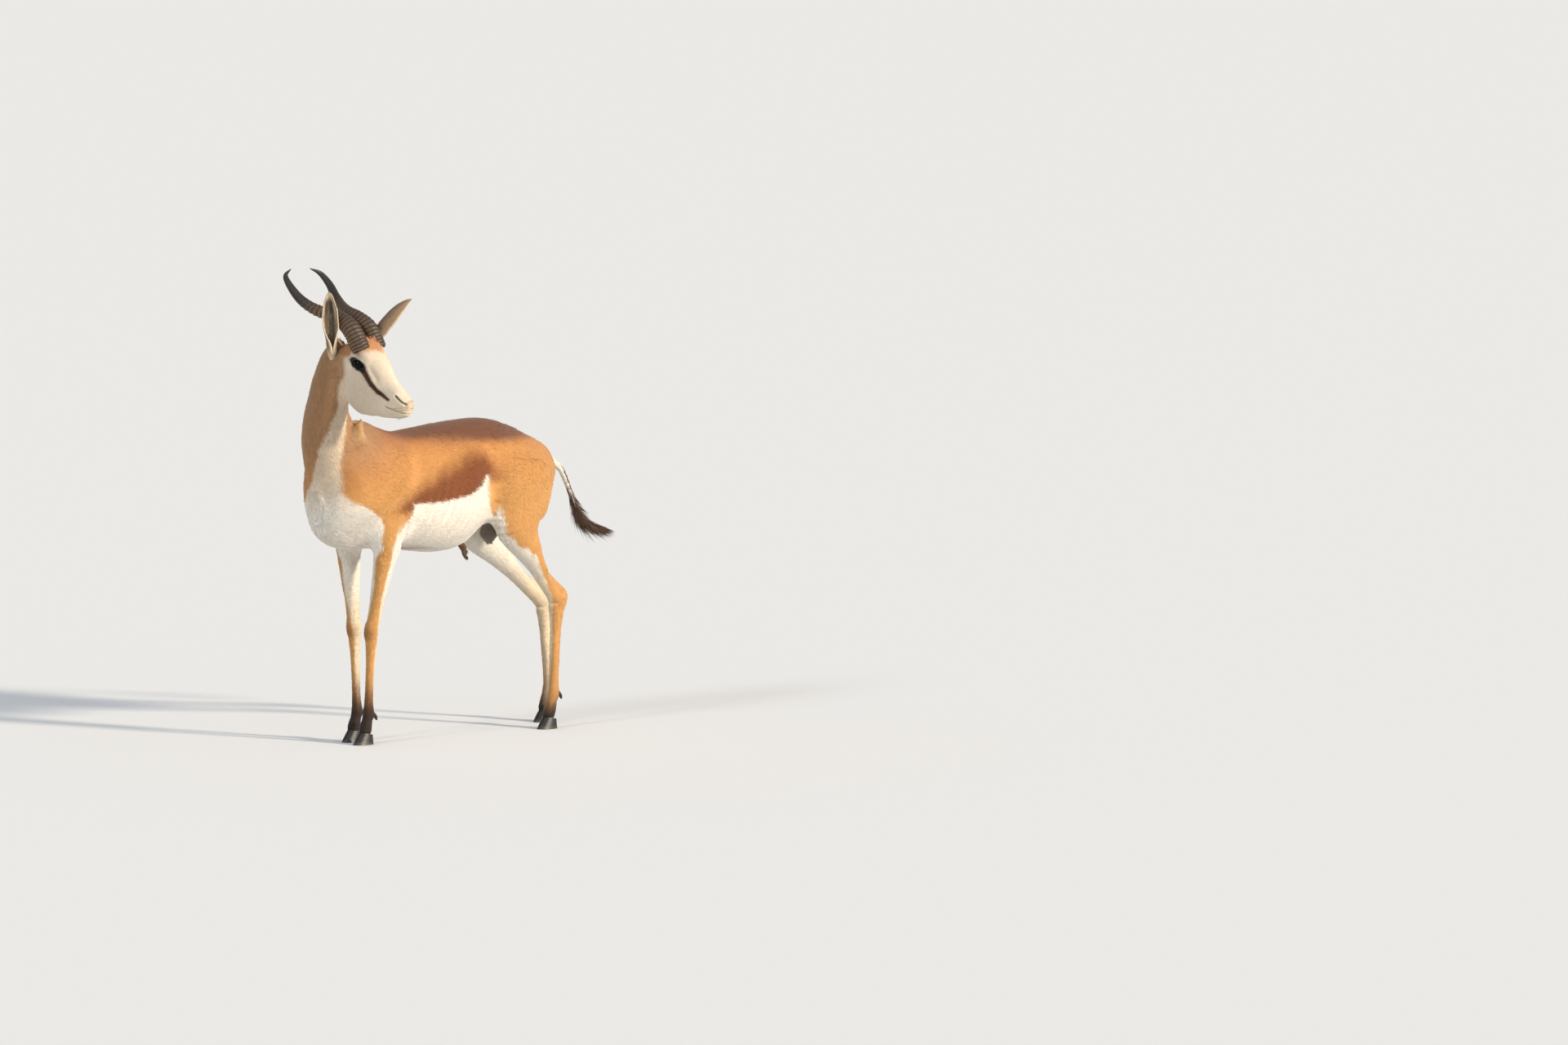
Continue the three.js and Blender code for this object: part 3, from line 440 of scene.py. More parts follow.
def on_sweep(part, points):
    """Place of points in a sweep: the row, and the offsets to the side, to the crown and past the end."""
    row = nearest_row(part, points)
    at = reader(part, row)
    gap = points - at("centre")
    side, crown, along = at("side"), at("crown"), at("along")
    y, z, x = (gap * side).sum(1), (gap * crown).sum(1), (gap * along).sum(1)
    upper = z > 0
    high = np.where(upper, at("up")[:, 0], at("down")[:, 0])
    full = np.where(upper, at("full_up")[:, 0], at("full_down")[:, 0])
    past_end = np.where((row <= 0) | (row >= len(part["run"]) - 1), np.abs(x), 0)
    return row, y, z, at("wide")[:, 0], high, full, past_end


def shell(part, points):
    """Distance from a sweep's surface, below zero inside. In the plane of the row the outline is where
    |y / half width|^n + |z / height|^n is 1; the distance is measured along the ray from the middle."""
    _, y, z, wide, high, full, past_end = on_sweep(part, points)
    share = ((np.abs(y) / wide) ** full + (np.abs(z) / high) ** full) ** (1 / full)
    away = np.hypot(y, z) * (1 - 1 / np.maximum(share, 1e-3))
    return np.where(past_end > 1e-9, np.hypot(np.maximum(away, 0), past_end), away)


FAR = 0.5


def near_shell(name, points, margin=0.1):
    """The same distance for a body by its name, worked out only near its box; the rest count as far."""
    part = PARTS[name]
    reach = np.stack([part["wide"], part["up"], part["down"]]).max() + margin
    low, high = part["centre"].min(0) - reach, part["centre"].max(0) + reach
    close = ((points > low) & (points < high)).all(1)
    distance = np.full(len(points), FAR)
    if close.any():
        distance[close] = shell(part, points[close])
    return distance


def soften(a, b, width):
    """Soft minimum of two distances: where they differ by less than the width, a little is taken off,
    at most a quarter of the width, so that the crease between two bodies is filled."""
    share = np.maximum(width - np.abs(a - b), 0) / width
    return np.minimum(a, b) - share**2 * width / 4


# %% [markdown]
# ## Bones and muscles
#
# The sweeps give the outline. What makes it an animal is under the skin: shoulder blade, elbow,
# the hollow of the flank, the great tendon above the hock. Each is a soft swelling or a hollow
# along a short line, given by its two ends, its radius and its height in millimetres, where a
# height below zero is a hollow.

# %% Swellings and hollows of the body
BODY_FORMS = [
    # shoulder blade and its spine, the muscle behind it, the point of the shoulder
    [[-62, 80, 745], [28, 88, 615], 30, 4.5],
    [[-95, 90, 700], [-62, 96, 600], 26, -3.0],
    [[-60, 100, 590], [-44, 96, 545], 30, 4.0],
    [[52, 78, 600], [52, 78, 600], 30, 4.0],
    [[-96, 92, 560], [-70, 90, 515], 20, -3.5],
    # ribs end, hollow of the flank, hip bone, haunch
    [[-285, 115, 680], [-245, 122, 590], 30, 2.5],
    [[-372, 100, 712], [-350, 112, 640], 34, -8.0],
    [[-402, 78, 752], [-402, 78, 752], 24, 5.0],
    [[-520, 96, 690], [-452, 118, 610], 44, 4.0],
    [[-590, 80, 650], [-560, 92, 570], 34, 3.5],
    [[-600, 45, 718], [-600, 45, 718], 26, 3.0],
    [[-535, 104, 610], [-515, 108, 545], 16, -2.5],
]
RIB_SPACING, RIB_HEIGHT = 0.026, 0.0003

# Forms of a leg: from and to, each as (how far down the joints, forward, outward), radius, height
PASTERN_FORMS = [[[3.5, 16, 0], [4.1, 18, 0], 5, -2.2], [[3.6, -18, 0], [4.2, -20, 0], 6, -3.0]]
FRONT_LEG_FORMS = [
    [[1.05, -40, 4], [1.0, -46, 2], 13, 5.0],
    [[1.2, 14, 14], [1.5, 10, 12], 14, 2.5],
    [[1.94, 18, 0], [2.04, 18, 0], 12, 2.2],
    [[2.0, -14, 0], [2.06, -15, 0], 9, 2.5],
    [[2.2, -4, 13], [2.85, -4, 13], 5, -1.6],
    [[2.2, -4, -13], [2.85, -4, -13], 5, -1.6],
] + PASTERN_FORMS
HIND_LEG_FORMS = [
    [[0.98, 50, 8], [1.06, 46, 6], 24, 5.0],
    [[1.35, 10, 22], [1.6, 6, 16], 16, 3.0],
    [[1.62, -16, 16], [1.93, -16, 14], 9, -5.5],
    [[1.62, -16, -16], [1.93, -16, -14], 9, -5.5],
    [[1.92, -32, 0], [2.0, -33, 0], 9, 4.5],
    [[2.0, 16, 0], [2.08, 14, 0], 12, 2.2],
    [[2.0, 2, 18], [2.04, 0, 18], 10, 2.2],
    [[2.22, -6, 14], [2.85, -5, 13], 5, -1.8],
    [[2.22, -6, -14], [2.85, -5, -13], 5, -1.8],
] + PASTERN_FORMS
NECK_FORMS = [
    # hollow beside the windpipe, then the hollow in front of the shoulder
    [[105, -62, 800], [150, -12, 900], 20, -3.0],
    [[70, 84, 760], [112, 96, 850], 22, -3.0],
    [[58, -92, 700], [80, -80, 740], 26, -3.5],
    [[52, 92, 690], [70, 96, 730], 26, -3.5],
]


def leg_place(joints, down, ahead, out, side):
    """A place on a leg, from how far down the joints it is and how far ahead and outwards"""
    joints = np.array(joints, float)
    low = min(len(joints) - 2, int(down))
    return joints[low] + (joints[low + 1] - joints[low]) * (down - low) + [ahead, out * side, 0]


def all_forms():
    """Every swelling and hollow as rows: the two ends, the radius and the height, in metres."""
    rows = [[*mirrored(a, s), *mirrored(b, s), r, h] for a, b, r, h in BODY_FORMS for s in SIDES.values()]
    rows += [[*a, *b, r, h] for a, b, r, h in NECK_FORMS]
    for leg, joints in JOINTS.items():
        side = SIDES[leg.split("_")[0]]
        for a, b, r, h in FRONT_LEG_FORMS if "front" in leg else HIND_LEG_FORMS:
            rows.append([*leg_place(joints, *a, side), *leg_place(joints, *b, side), r, h])
    return np.array(rows) * MM


FORMS = all_forms()


def line_distance(points, a, b):
    """Distance of points from the straight line between two ends"""
    way = b - a
    t = np.clip(((points - a) @ way) / max(way @ way, 1e-12), 0, 1)
    return np.linalg.norm(points - a - t[:, None] * way, axis=1)


def path_distance(points, path):
    """Distance of points from a line with bends"""
    return np.min([line_distance(points, a, b) for a, b in zip(path[:-1], path[1:])], axis=0)


def swell(points, forms):
    """Sum of the forms: each fades as the bell curve of the distance from its line over its radius."""
    total = np.zeros(len(points))
    for row in forms:
        a, b, radius, height = row[:3], row[3:6], row[6], row[7]
        reach = 2.6 * radius
        close = ((points > np.minimum(a, b) - reach) & (points < np.maximum(a, b) + reach)).all(1)
        if close.any():
            total[close] += height * np.exp(-(line_distance(points[close], a, b) / radius) ** 2)
    return total


def ribs(points):
    """Faint ribs: waves along the chest that lean back as they go down, on the sides only"""
    x, y, z = points.T
    wave = np.sin((x + 0.35 * (z - 0.64)) / RIB_SPACING * 2 * np.pi)
    place = np.exp(-((x + 0.19) / 0.09) ** 2 - ((z - 0.61) / 0.07) ** 2) * (np.abs(y) > 0.06)
    return RIB_HEIGHT * wave * place


# %% [markdown]
# ## Forms of the head
#
# The head gets most of the care. On its own axes it has a brow over each eye, a cheek bone that
# runs down to the side of the muzzle, the big chewing muscle, wings of the nose and lips. The
# lids are a thin shell over the ball of the eye, cut open in the shape of an almond.

# %% Swellings and hollows of the head, on its own axes
HEAD_FORMS = [
    [[23, 33, 18], [-10, 41, 17], 9, 2.8],
    [[23, 40, -22], [66, 30, -56], 9, 2.2],
    [[38, 33, -8], [60, 27, -30], 8, -2.2],
    [[4, 42, -64], [26, 39, -84], 25, 3.4],
    [[72, 27, -72], [84, 24, -84], 14, -2.6],
    [[116, 20, -54], [146, 16, -64], 8, 1.6],
    [[108, 21, -84], [150, 14, -86], 6, 1.4],
    [[104, 17, -105], [148, 10, -102], 5, 1.0],
    [[146, 0, -106], [146, 0, -106], 9, 1.0],
    [[-24, 34, -100], [50, 25, -122], 9, 1.6],
    [[-6, 14, -136], [50, 8, -134], 15, -3.0],
    [[-34, 42, -46], [-40, 40, -70], 10, -2.5],
    [[34, 0, 32], [80, 0, -10], 12, 1.2],
    [[-2, 0, 50], [20, 0, 42], 11, 1.2],
]
HEAD_ROWS = np.array([[*mirrored(a, s), *mirrored(b, s), r, h * (0.5 if a[1] == 0 else 1)]
                      for a, b, r, h in HEAD_FORMS for s in SIDES.values()]) * MM

EYE_RADIUS = 17.5 * MM
LID_THICK = 2.0 * MM
EYE_LOOK = np.array([0.34, 0.93, 0.12])
EYE_HALF_LENGTH, EYE_HALF_HEIGHT = 16.0 * MM, 9.9 * MM
EYE_SLOPE = -0.18


def eye_axes(side):
    """Columns: along the slit of the eye, across it upwards, and the way the eye looks."""
    look = unit(mirrored(EYE_LOOK, side))
    along = np.array([1, 0, EYE_SLOPE])
    along = unit(along - along @ look * look)
    over = np.cross(look, along)
    return np.stack([along, over * np.sign(over[2]), look], 1)


def eye_gap(local, side):
    """Distance from the middle of an eye, on the head's axes"""
    return np.linalg.norm(local - mirrored(EYE_AT, side), axis=1)


def eyeballs(local):
    """Distance from the shells over the two eyes"""
    return np.minimum(*[eye_gap(local, side) for side in SIDES.values()]) - EYE_RADIUS - LID_THICK


def almond(local, side):
    """Where points lie in the slit of an eye: 1 on its edge, less inside it. The slit is an ellipse that
    narrows towards both corners. Also the place along the slit, across it, and in front of the eye."""
    along, over, ahead = ((local - mirrored(EYE_AT, side)) @ eye_axes(side)).T
    share = along / EYE_HALF_LENGTH
    narrow = EYE_HALF_HEIGHT * (1 - 0.2 * np.clip(share**2, 0, 1))
    return np.hypot(share, over / narrow), along, over, ahead


def carve(distance, hollow, width):
    """Takes a hollow out of a body; its edge is rounded off over the width."""
    return -soften(-distance, hollow, width)


# The slit of a nostril, seen from the side: forward and up
NOSTRIL = np.array([[121, -58.5], [129, -63], [137, -67], [146, -70.5], [154, -72.5]]) * MM
NOSTRIL_WIDTH, NOSTRIL_DEPTH, NOSTRIL_RIM = 2.4 * MM, 6.0 * MM, 1.3 * MM
MOUTH_UP, MOUTH_CORNER, MOUTH_FRONT = -96 * MM, 92 * MM, 160 * MM
LIP_OFFSET, LIP_WIDTH, LIP_HEIGHT = 4.2 * MM, 3.0 * MM, 1.0 * MM
SLIT_WIDTH, SLIT_DEPTH = 1.0 * MM, 2.6 * MM


def mouth_height(forward):
    """Height of the line of the mouth: level in front, rising a little to its corner"""
    share = np.clip((forward - MOUTH_CORNER) / (MOUTH_FRONT - MOUTH_CORNER), 0, 1)
    return MOUTH_UP + 3 * MM * (1 - share) ** 2


def mouth_forms(local):
    """Height of the lips less the depth of the slit between them"""
    forward, _, up = local.T
    rise = up - mouth_height(forward)
    there = ramp(forward, MOUTH_CORNER - 4 * MM, MOUTH_CORNER + 6 * MM) * (np.abs(rise) < 0.02)
    lips = np.exp(-((np.abs(rise) - LIP_OFFSET) / LIP_WIDTH) ** 2) * LIP_HEIGHT
    slit = np.exp(-(rise / SLIT_WIDTH) ** 2) * SLIT_DEPTH
    return there * (lips - slit)


def nostrils(local):
    """Depth of the nostrils less the height of their rims. Both fade as bell curves of the distance from
    the slit, seen from the side, and neither reaches the middle of the nose."""
    gap = path_distance(local[:, [0, 2]], NOSTRIL)
    wing = ramp(np.abs(local[:, 1]), 2 * MM, 7 * MM)
    slit = NOSTRIL_DEPTH * np.exp(-(gap / NOSTRIL_WIDTH) ** 2)
    rim = NOSTRIL_RIM * np.exp(-((gap - 5.5 * MM) / (2.4 * MM)) ** 2)
    return wing * (slit - rim)


def lids(local):
    """Fold of the upper lid and the rims round the slit, as a height over the ball of the eye"""
    height = np.zeros(len(local))
    for side in SIDES.values():
        edge, _, over, ahead = almond(local, side)
        fold = 0.9 * MM * np.exp(-((edge - 1.16) / 0.15) ** 2)
        crease = -1.1 * MM * np.exp(-((edge - 1.62) / 0.13) ** 2) * (over > 0)
        lower = -0.6 * MM * np.exp(-((edge - 1.75) / 0.15) ** 2) * (over <= 0)
        height += (fold + crease + lower) * (ahead > 0) * (edge < 2.6)
    return height


def open_eyes(distance, local):
    """Cuts the slits of the eyes open, down to just behind the surface of the balls. The front corner
    runs out into a short groove, the tear duct."""
    for side in SIDES.values():
        edge, along, over, ahead = almond(local, side)
        slit = np.maximum((edge - 1) * EYE_HALF_HEIGHT, EYE_RADIUS - 1.6 * MM - eye_gap(local, side))
        slit = np.maximum(slit, -ahead)
        distance = carve(distance, slit, 2.2 * MM)
        start, end = [EYE_HALF_LENGTH * 0.9, 0, 13 * MM], [EYE_HALF_LENGTH * 1.5, -1.5 * MM, 9 * MM]
        groove = line_distance(np.stack([along, over, ahead], 1), np.array(start), np.array(end))
        distance = carve(distance, groove - 1.5 * MM, 2 * MM)
    return distance


EAR_ROOTS = {"left": np.array([-68, 53, 4]), "right": np.array([-72, 54, -8])}
EAR_WAYS = {"left": unit(np.array([0.37, 0.475, 0.8])), "right": unit(np.array([-0.03, 0.25, 0.968]))}


def ear_stub(name):
    """The fleshy root of an ear, from inside the head out to where the cup opens"""
    along, inward = np.array([-40, -18, 0, 14]), np.array([22, 8, 0, 0])
    root, way = EAR_ROOTS[name], EAR_WAYS[name]
    path = [mirrored(root + way * a - [0, b, 0], SIDES[name]) for a, b in zip(along, inward)]
    return on_head(sweep(round_path(path, [22, 20, 15.5, 13]), 6))


for name in SIDES:
    PARTS[name + "_ear_root"] = ear_stub(name)


def head_shell(points):
    """Distance from the head with its forms; the shells over the eyes are blended in, and the slits of
    the eyes and the nostrils are cut out."""
    local = to_head(points)
    distance = near_shell("head", points) - swell(local, HEAD_ROWS)
    close = distance < 0.03
    inside = local[close]
    fine = soften(distance[close], eyeballs(inside) - lids(inside), 7 * MM)
    distance[close] = open_eyes(fine - mouth_forms(inside), inside) + nostrils(inside)
    return distance


# %% The whole animal as one distance
LEG_BLEND = {"front": 0.045, "hind": 0.05}


def flesh(points):
    """Distance from the animal without its coat: the soft minimum of all bodies, less the forms."""
    distance = near_shell("trunk", points)
    distance = soften(distance, near_shell("neck", points), 0.075)
    for leg in JOINTS:
        distance = soften(distance, near_shell(leg, points), LEG_BLEND[leg.split("_")[1]])
    for name, (_, _, blend) in SMALL_BODIES.items():
        distance = soften(distance, near_shell(name, points), blend)
    distance = distance - swell(points, FORMS) - ribs(points)
    distance = soften(distance, head_shell(points), 0.032)
    for name in SIDES:
        distance = soften(distance, near_shell(name + "_pedicle", points, 0.03), 0.014)
        distance = soften(distance, near_shell(name + "_ear_root", points, 0.03), 0.012)
    return distance


# %% [markdown]
# ## Depth of the coat
#
# The solids reach out to the tips of the hair, so the skin lies inside them by the depth of the
# coat: 3 mm on the trunk, less on the legs and about 1 mm on the face.

# %% Where a point belongs
def coat_depth(points):
    """Depth of the coat in metres: thick on trunk and neck, thin on the lower legs and on the face"""
    z = points[:, 2]
    local = to_head(points)
    face = ramp(local[:, 0], -0.06, 0.0) * ramp(z, 0.82, 0.86)
    depth = 1.0 * MM + 2.0 * MM * ramp(z, 0.25, 0.52)
    return depth * (1 - face) + 0.9 * MM * face


def skin_field(points):
    """Distance from the skin, which lies under the coat"""
    return flesh(points) + coat_depth(points)


# %% [markdown]
# ## A first net over the animal
#
# Tubes made from the sweeps overlap one another. Blender's voxel remesh wraps one closed net of
# even squares round them. It is coarse and stepped, but it is only a start: its points are then
# drawn onto the surface of the joined distance, and the net is made finer where the form asks.

# %% Tubes and remesh
VOXEL = 0.010


def tube(part, sides=32):
    """Points and triangles of a closed tube: the superellipse outline at every row, with flat ends."""
    angle = (np.arange(sides) + 0.5) / sides * 2 * np.pi
    c, s = np.cos(angle), np.sin(angle)
    full = np.where(s > 0, part["full_up"][:, None], part["full_down"][:, None])
    high = np.where(s > 0, part["up"][:, None], part["down"][:, None])
    y = part["wide"][:, None] * np.sign(c) * np.abs(c) ** (2 / full)
    z = high * np.sign(s) * np.abs(s) ** (2 / full)
    ring = (part["centre"][:, None] + y[..., None] * part["side"][:, None]
            + z[..., None] * part["crown"][:, None])
    points = np.concatenate([ring.reshape(-1, 3), part["centre"][[0, -1]]])
    return points, outward(points, closed_tube(len(ring), sides))


def first_net():
    """Points and triangles of one closed net round all the tubes"""
    points, faces, count = [], [], 0
    for part in PARTS.values():
        p, f = tube(part)
        points.append(p)
        faces.append(f + count)
        count += len(p)
    rough = make_mesh("rough", np.concatenate(points) - HOME, np.concatenate(faces))
    remesh = rough.modifiers.new("remesh", "REMESH")
    remesh.mode = "VOXEL"
    remesh.voxel_size = VOXEL
    done = rough.evaluated_get(bpy.context.evaluated_depsgraph_get()).to_mesh()
    co = np.empty(len(done.vertices) * 3, np.float32)
    done.vertices.foreach_get("co", co)
    done.calc_loop_triangles()
    corners = np.empty(len(done.loop_triangles) * 3, np.int32)
    done.loop_triangles.foreach_get("vertices", corners)
    bpy.data.objects.remove(rough)
    return co.reshape(-1, 3).astype(float), corners.reshape(-1, 3)


# %% [markdown]
# ## Drawing the net onto the surface
#
# A point is moved against the slope of the distance by the distance it shows, a few times over.
# In between, each point moves a little towards the middle of its neighbours, but only along the
# surface, which evens out the net. Triangles that are too large for their place are split.

# %% Tools for the net
def slope(field, points, value, step=0.0008):
    """Slope of a distance by small steps along x, y and z"""
    return np.stack([field(points + way * step) - value for way in np.eye(3)], 1) / step


def settle(points, rounds=2, most=0.006):
    """Draws points onto the skin"""
    for _ in range(rounds):
        value = skin_field(points)
        steep = slope(skin_field, points, value)
        step = value / np.maximum((steep**2).sum(1), 0.25)
        points = points - np.clip(step, -most, most)[:, None] * steep
    return points


def normals(points, faces):
    """Normals of the points: the sum of the normals of the triangles round each, by area"""
    a, b, c = (points[faces[:, i]] for i in range(3))
    face = np.cross(b - a, c - a)
    total = np.stack([sum(np.bincount(faces[:, i], face[:, k], len(points)) for i in range(3))
                      for k in range(3)], 1)
    return unit(total)


def neighbour_middles(points, faces):
    """The middle of the neighbours of each point"""
    a, b = faces.T.ravel(), np.roll(faces, -1, axis=1).T.ravel()
    count = np.maximum(np.bincount(a, minlength=len(points)), 1)[:, None]
    return np.stack([np.bincount(a, points[b, k], len(points)) for k in range(3)], 1) / count


def even_out(points, faces, amount=0.5):
    """Moves each point along the surface towards the middle of its neighbours"""
    move = neighbour_middles(points, faces) - points
    n = normals(points, faces)
    return points + amount * (move - (move * n).sum(1, keepdims=True) * n)


def refine(points, faces, wanted):
    """Splits the wanted triangles in four by new points in the middle of their edges. A neighbour that
    gets two new points is split in four too, and one that gets a single point is split in two."""
    ends = np.sort(faces[:, [[0, 1], [1, 2], [2, 0]]], axis=2)
    key = ends[..., 0].astype(np.int64) * len(points) + ends[..., 1]
    edges, which = np.unique(key, return_inverse=True)
    which = which.reshape(-1, 3)
    cut = np.zeros(len(edges), bool)
    while True:
        cut[which[wanted]] = True
        grown = cut[which].sum(1) >= 2
        if (grown == wanted).all():
            break
        wanted = grown
    first, second = edges // len(points), edges % len(points)
    middle = np.full(len(edges), -1)
    middle[cut] = len(points) + np.arange(cut.sum())
    points = np.concatenate([points, (points[first[cut]] + points[second[cut]]) / 2])
    a, b, c = faces[wanted].T
    ab, bc, ca = middle[which[wanted]].T
    four = np.concatenate([np.stack(t, 1) for t in ((a, ab, ca), (ab, b, bc), (ca, bc, c), (ab, bc, ca))])
    rest, marks = faces[~wanted], middle[which[~wanted]]
    plain = (marks < 0).all(1)
    halves = [rest[plain], four]
    for turn in range(3):
        one = marks[:, turn] >= 0
        a, b, c = rest[one][:, [turn, (turn + 1) % 3, (turn + 2) % 3]].T
        m = marks[one, turn]
        halves += [np.stack([a, m, c], 1), np.stack([m, b, c], 1)]
    return points, np.concatenate(halves)


def edge_wanted(points):
    """How long an edge may be at each place: 7.2 mm on the body, less and less towards eyes and mouth"""
    local = to_head(points)
    f, l, u = local.T
    size = np.full(len(points), 7.2 * MM)
    head = (points[:, 2] > 0.84) & (f > -0.075)
    size[head] = 3.0 * MM
    eye = np.abs(eyeballs(local)) < 0.012
    muzzle = (f > 0.082) & head
    size[head & (eye | muzzle)] = 1.5 * MM
    centre_gap = np.minimum(*[np.linalg.norm((local - mirrored(EYE_AT, s)) @ eye_axes(s)
                                             * [1, 1.5, 0], axis=1) for s in SIDES.values()])
    lid = eye & (centre_gap < 0.019)
    mouth = (np.abs(u - MOUTH_UP) < 0.005) & (f > 0.084)
    nostril = (path_distance(local[:, [0, 2]], NOSTRIL) < 0.008) & (np.abs(l) > 0.004)
    size[head & (lid | mouth | nostril)] = 0.75 * MM
    return size


def longest_edge(points, faces):
    """Length of the longest edge of each triangle"""
    corners = points[faces]
    return np.linalg.norm(corners - np.roll(corners, 1, axis=1), axis=2).max(1)


def weave():
    """The skin's points and triangles: the first net, drawn onto the skin and made finer by turns"""
    points, faces = first_net()
    for _ in range(3):
        points = even_out(settle(points), faces)
    for turn in range(4):
        wanted = longest_edge(points, faces) > 1.6 * edge_wanted(points[faces].mean(1))
        if not wanted.any():
            break
        points, faces = refine(points, faces, wanted)
        points = settle(even_out(points, faces), 1)
        print("round", turn, "triangles", len(faces))
    return settle(even_out(points, faces, 0.3), 2), faces


def melt_ledge(points, faces, rounds=60):
    """Behind the stifle the sections of a hind leg cross inside the bend and leave a ledge. Points near
    it move to the middle of their neighbours by 0.5 w, w = exp(-((z - ledge) / 35 mm)^2) behind the joint."""
    x, y, z = points.T
    weight = np.zeros(len(points))
    for leg in ("left_hind", "right_hind"):
        stifle = np.array(JOINTS[leg][1]) * MM
        near = np.exp(-((z - stifle[2] - 8 * MM) / (35 * MM)) ** 2) * ramp(stifle[0] - x, -0.01, 0.03)
        weight = np.maximum(weight, near * (y * stifle[1] > 0) * ramp(np.abs(y), 0.01, 0.03))
    start = points
    for _ in range(rounds):
        points = points + 0.5 * weight[:, None] * (neighbour_middles(points, faces) - points)
    print("ledge moved by at most", round(float(np.linalg.norm(points - start, axis=1).max()) / MM, 1), "mm")
    return points


skin_points, skin_faces = weave()
skin_points = melt_ledge(skin_points, skin_faces)
print("skin", len(skin_points), "points", len(skin_faces), "triangles")


# %% [markdown]
# ## Markings
#
# A springbok is cinnamon above and white below, with a dark brown band between the two along the
# flank. The face is white with a thin brown stripe from the eye to the corner of the mouth, the
# forehead is orange between the horns, and the lower legs darken to the hooves. All of these are
# masks over places on the body, and skin and coat ask the same function, so they always agree.
# The masks' edges are blurred by a slow wave, because hair never ends on a line.

# %% Colours and patterns
def tone(red, green, blue):
    """A colour from the screen's numbers of 0 to 255, as the linear values that Blender mixes"""
    c = np.array([red, green, blue]) / 255
    return np.where(c < 0.04045, c / 12.92, ((c + 0.055) / 1.055) ** 2.4)


TAN = tone(206, 152, 90)
RICH_TAN = tone(196, 134, 72)
# The next two colours, the darker back and the dark stripe along the spine, are partly hair colour and partly
# painted shade of the back's top.
BACK_TAN_AND_SHADE = tone(172, 112, 70)
DORSAL_HAIR_AND_SHADE = tone(104, 66, 50)
BAND = tone(128, 72, 34)
WHITE = tone(236, 228, 214)
CREAM = tone(224, 204, 172)
NECK_TAN = tone(172, 130, 92)
FACE = tone(230, 212, 188)
THROAT = tone(226, 204, 176)
FOLD_TAN = tone(214, 170, 118)
FOREHEAD = tone(198, 130, 74)
STRIPE = tone(74, 42, 26)
SURROUND = tone(26, 20, 18)
FOOT = tone(50, 36, 28)
KNEE = tone(140, 94, 58)
BARE = tone(140, 126, 116)
NOSE = tone(126, 108, 98)
SHEATH = tone(104, 76, 48)


def wave(points, size, seed):
    """A slow pattern between -1 and 1: the mean of six sine waves in different directions."""
    ways = np.random.default_rng(seed).normal(size=(6, 3))
    ways *= 2 * np.pi / (size * np.linalg.norm(ways, axis=1, keepdims=True))
    shift = np.random.default_rng(seed + 1).uniform(0, 2 * np.pi, 6)
    return np.sin(points @ ways.T + shift).mean(1) * 1.6


def mix(base, colour, mask):
    """Colours with others laid over them by a mask from 0 to 1; either may be one colour for all"""
    mask = np.clip(mask, 0, 1)[:, None]
    return base * (1 - mask) + colour * mask


def past(value, edge, soft):
    """Goes smoothly from 0 to 1 across an edge"""
    return ramp(value, edge - soft, edge + soft)


# Lower and upper edge of the dark band along the flank: place along the body and height, in metres
BAND_LOW = np.array([[-0.345, 0.670], [-0.34, 0.668], [-0.311, 0.644], [-0.269, 0.625],
                     [-0.174, 0.614], [-0.055, 0.613], [0.0, 0.600], [0.06, 0.590]])
BAND_HIGH = np.array([[-0.40, 0.700], [-0.34, 0.735], [-0.293, 0.742], [-0.2335, 0.715], [-0.174, 0.697],
                      [-0.114, 0.670], [-0.054, 0.637], [-0.02, 0.620], [0.03, 0.600]])
# White in front of the thigh: its edge runs down and back from the fold of the flank
THIGH_EDGE = np.array([[0.44, -0.470], [0.476, -0.434], [0.504, -0.400], [0.548, -0.389], [0.596, -0.345],
                       [0.640, -0.338], [0.668, -0.345]])


def leg_angles(points):
    """For the leg nearest to each point: how far down its joints the point lies, the angle round it
    (0 in front, 90 on the outer side, 180 behind, -90 inside), the distance from it, and whether it
    is a front leg."""
    best = {"gap": np.full(len(points), FAR), "down": np.zeros(len(points)),
            "angle": np.zeros(len(points)), "front": np.zeros(len(points), bool)}
    for leg, joints in JOINTS.items():
        part, side = PARTS[leg], SIDES[leg.split("_")[0]]
        sections = FRONT_SECTIONS if "front" in leg else HIND_SECTIONS
        gap = near_shell(leg, points, 0.08)
        near = gap < best["gap"]
        row, y, z, *_ = on_sweep(part, points[near])
        steps = np.linspace(0, len(sections) - 1, len(part["run"]))
        down = np.interp(np.interp(row, np.arange(len(steps)), steps), np.arange(len(sections)),
                         [s[0] for s in sections])
        best["gap"][near] = gap[near]
        best["down"][near] = down
        best["angle"][near] = np.degrees(np.arctan2(y * side, z))
        best["front"][near] = "front" in leg
    return best


def upper_arm(points, blur):
    """Mask of the tan that runs from the shoulder down the outside of the front leg, between the white
    of the belly and that of the brisket."""
    x, y, z = points.T
    back = np.interp(z, [0.532, 0.565, 0.580, 0.600], [-0.033, -0.060, -0.072, -0.080])
    front = np.interp(z, [0.532, 0.565, 0.580, 0.600, 0.620], [0.003, 0.005, 0.016, 0.045, 0.080])
    strip = past(x + 0.003 * blur, back, 0.003) * (1 - past(x + 0.003 * blur, front, 0.003))
    return strip * ramp(np.abs(y), 0.045, 0.060) * ramp(z, 0.50, 0.52)


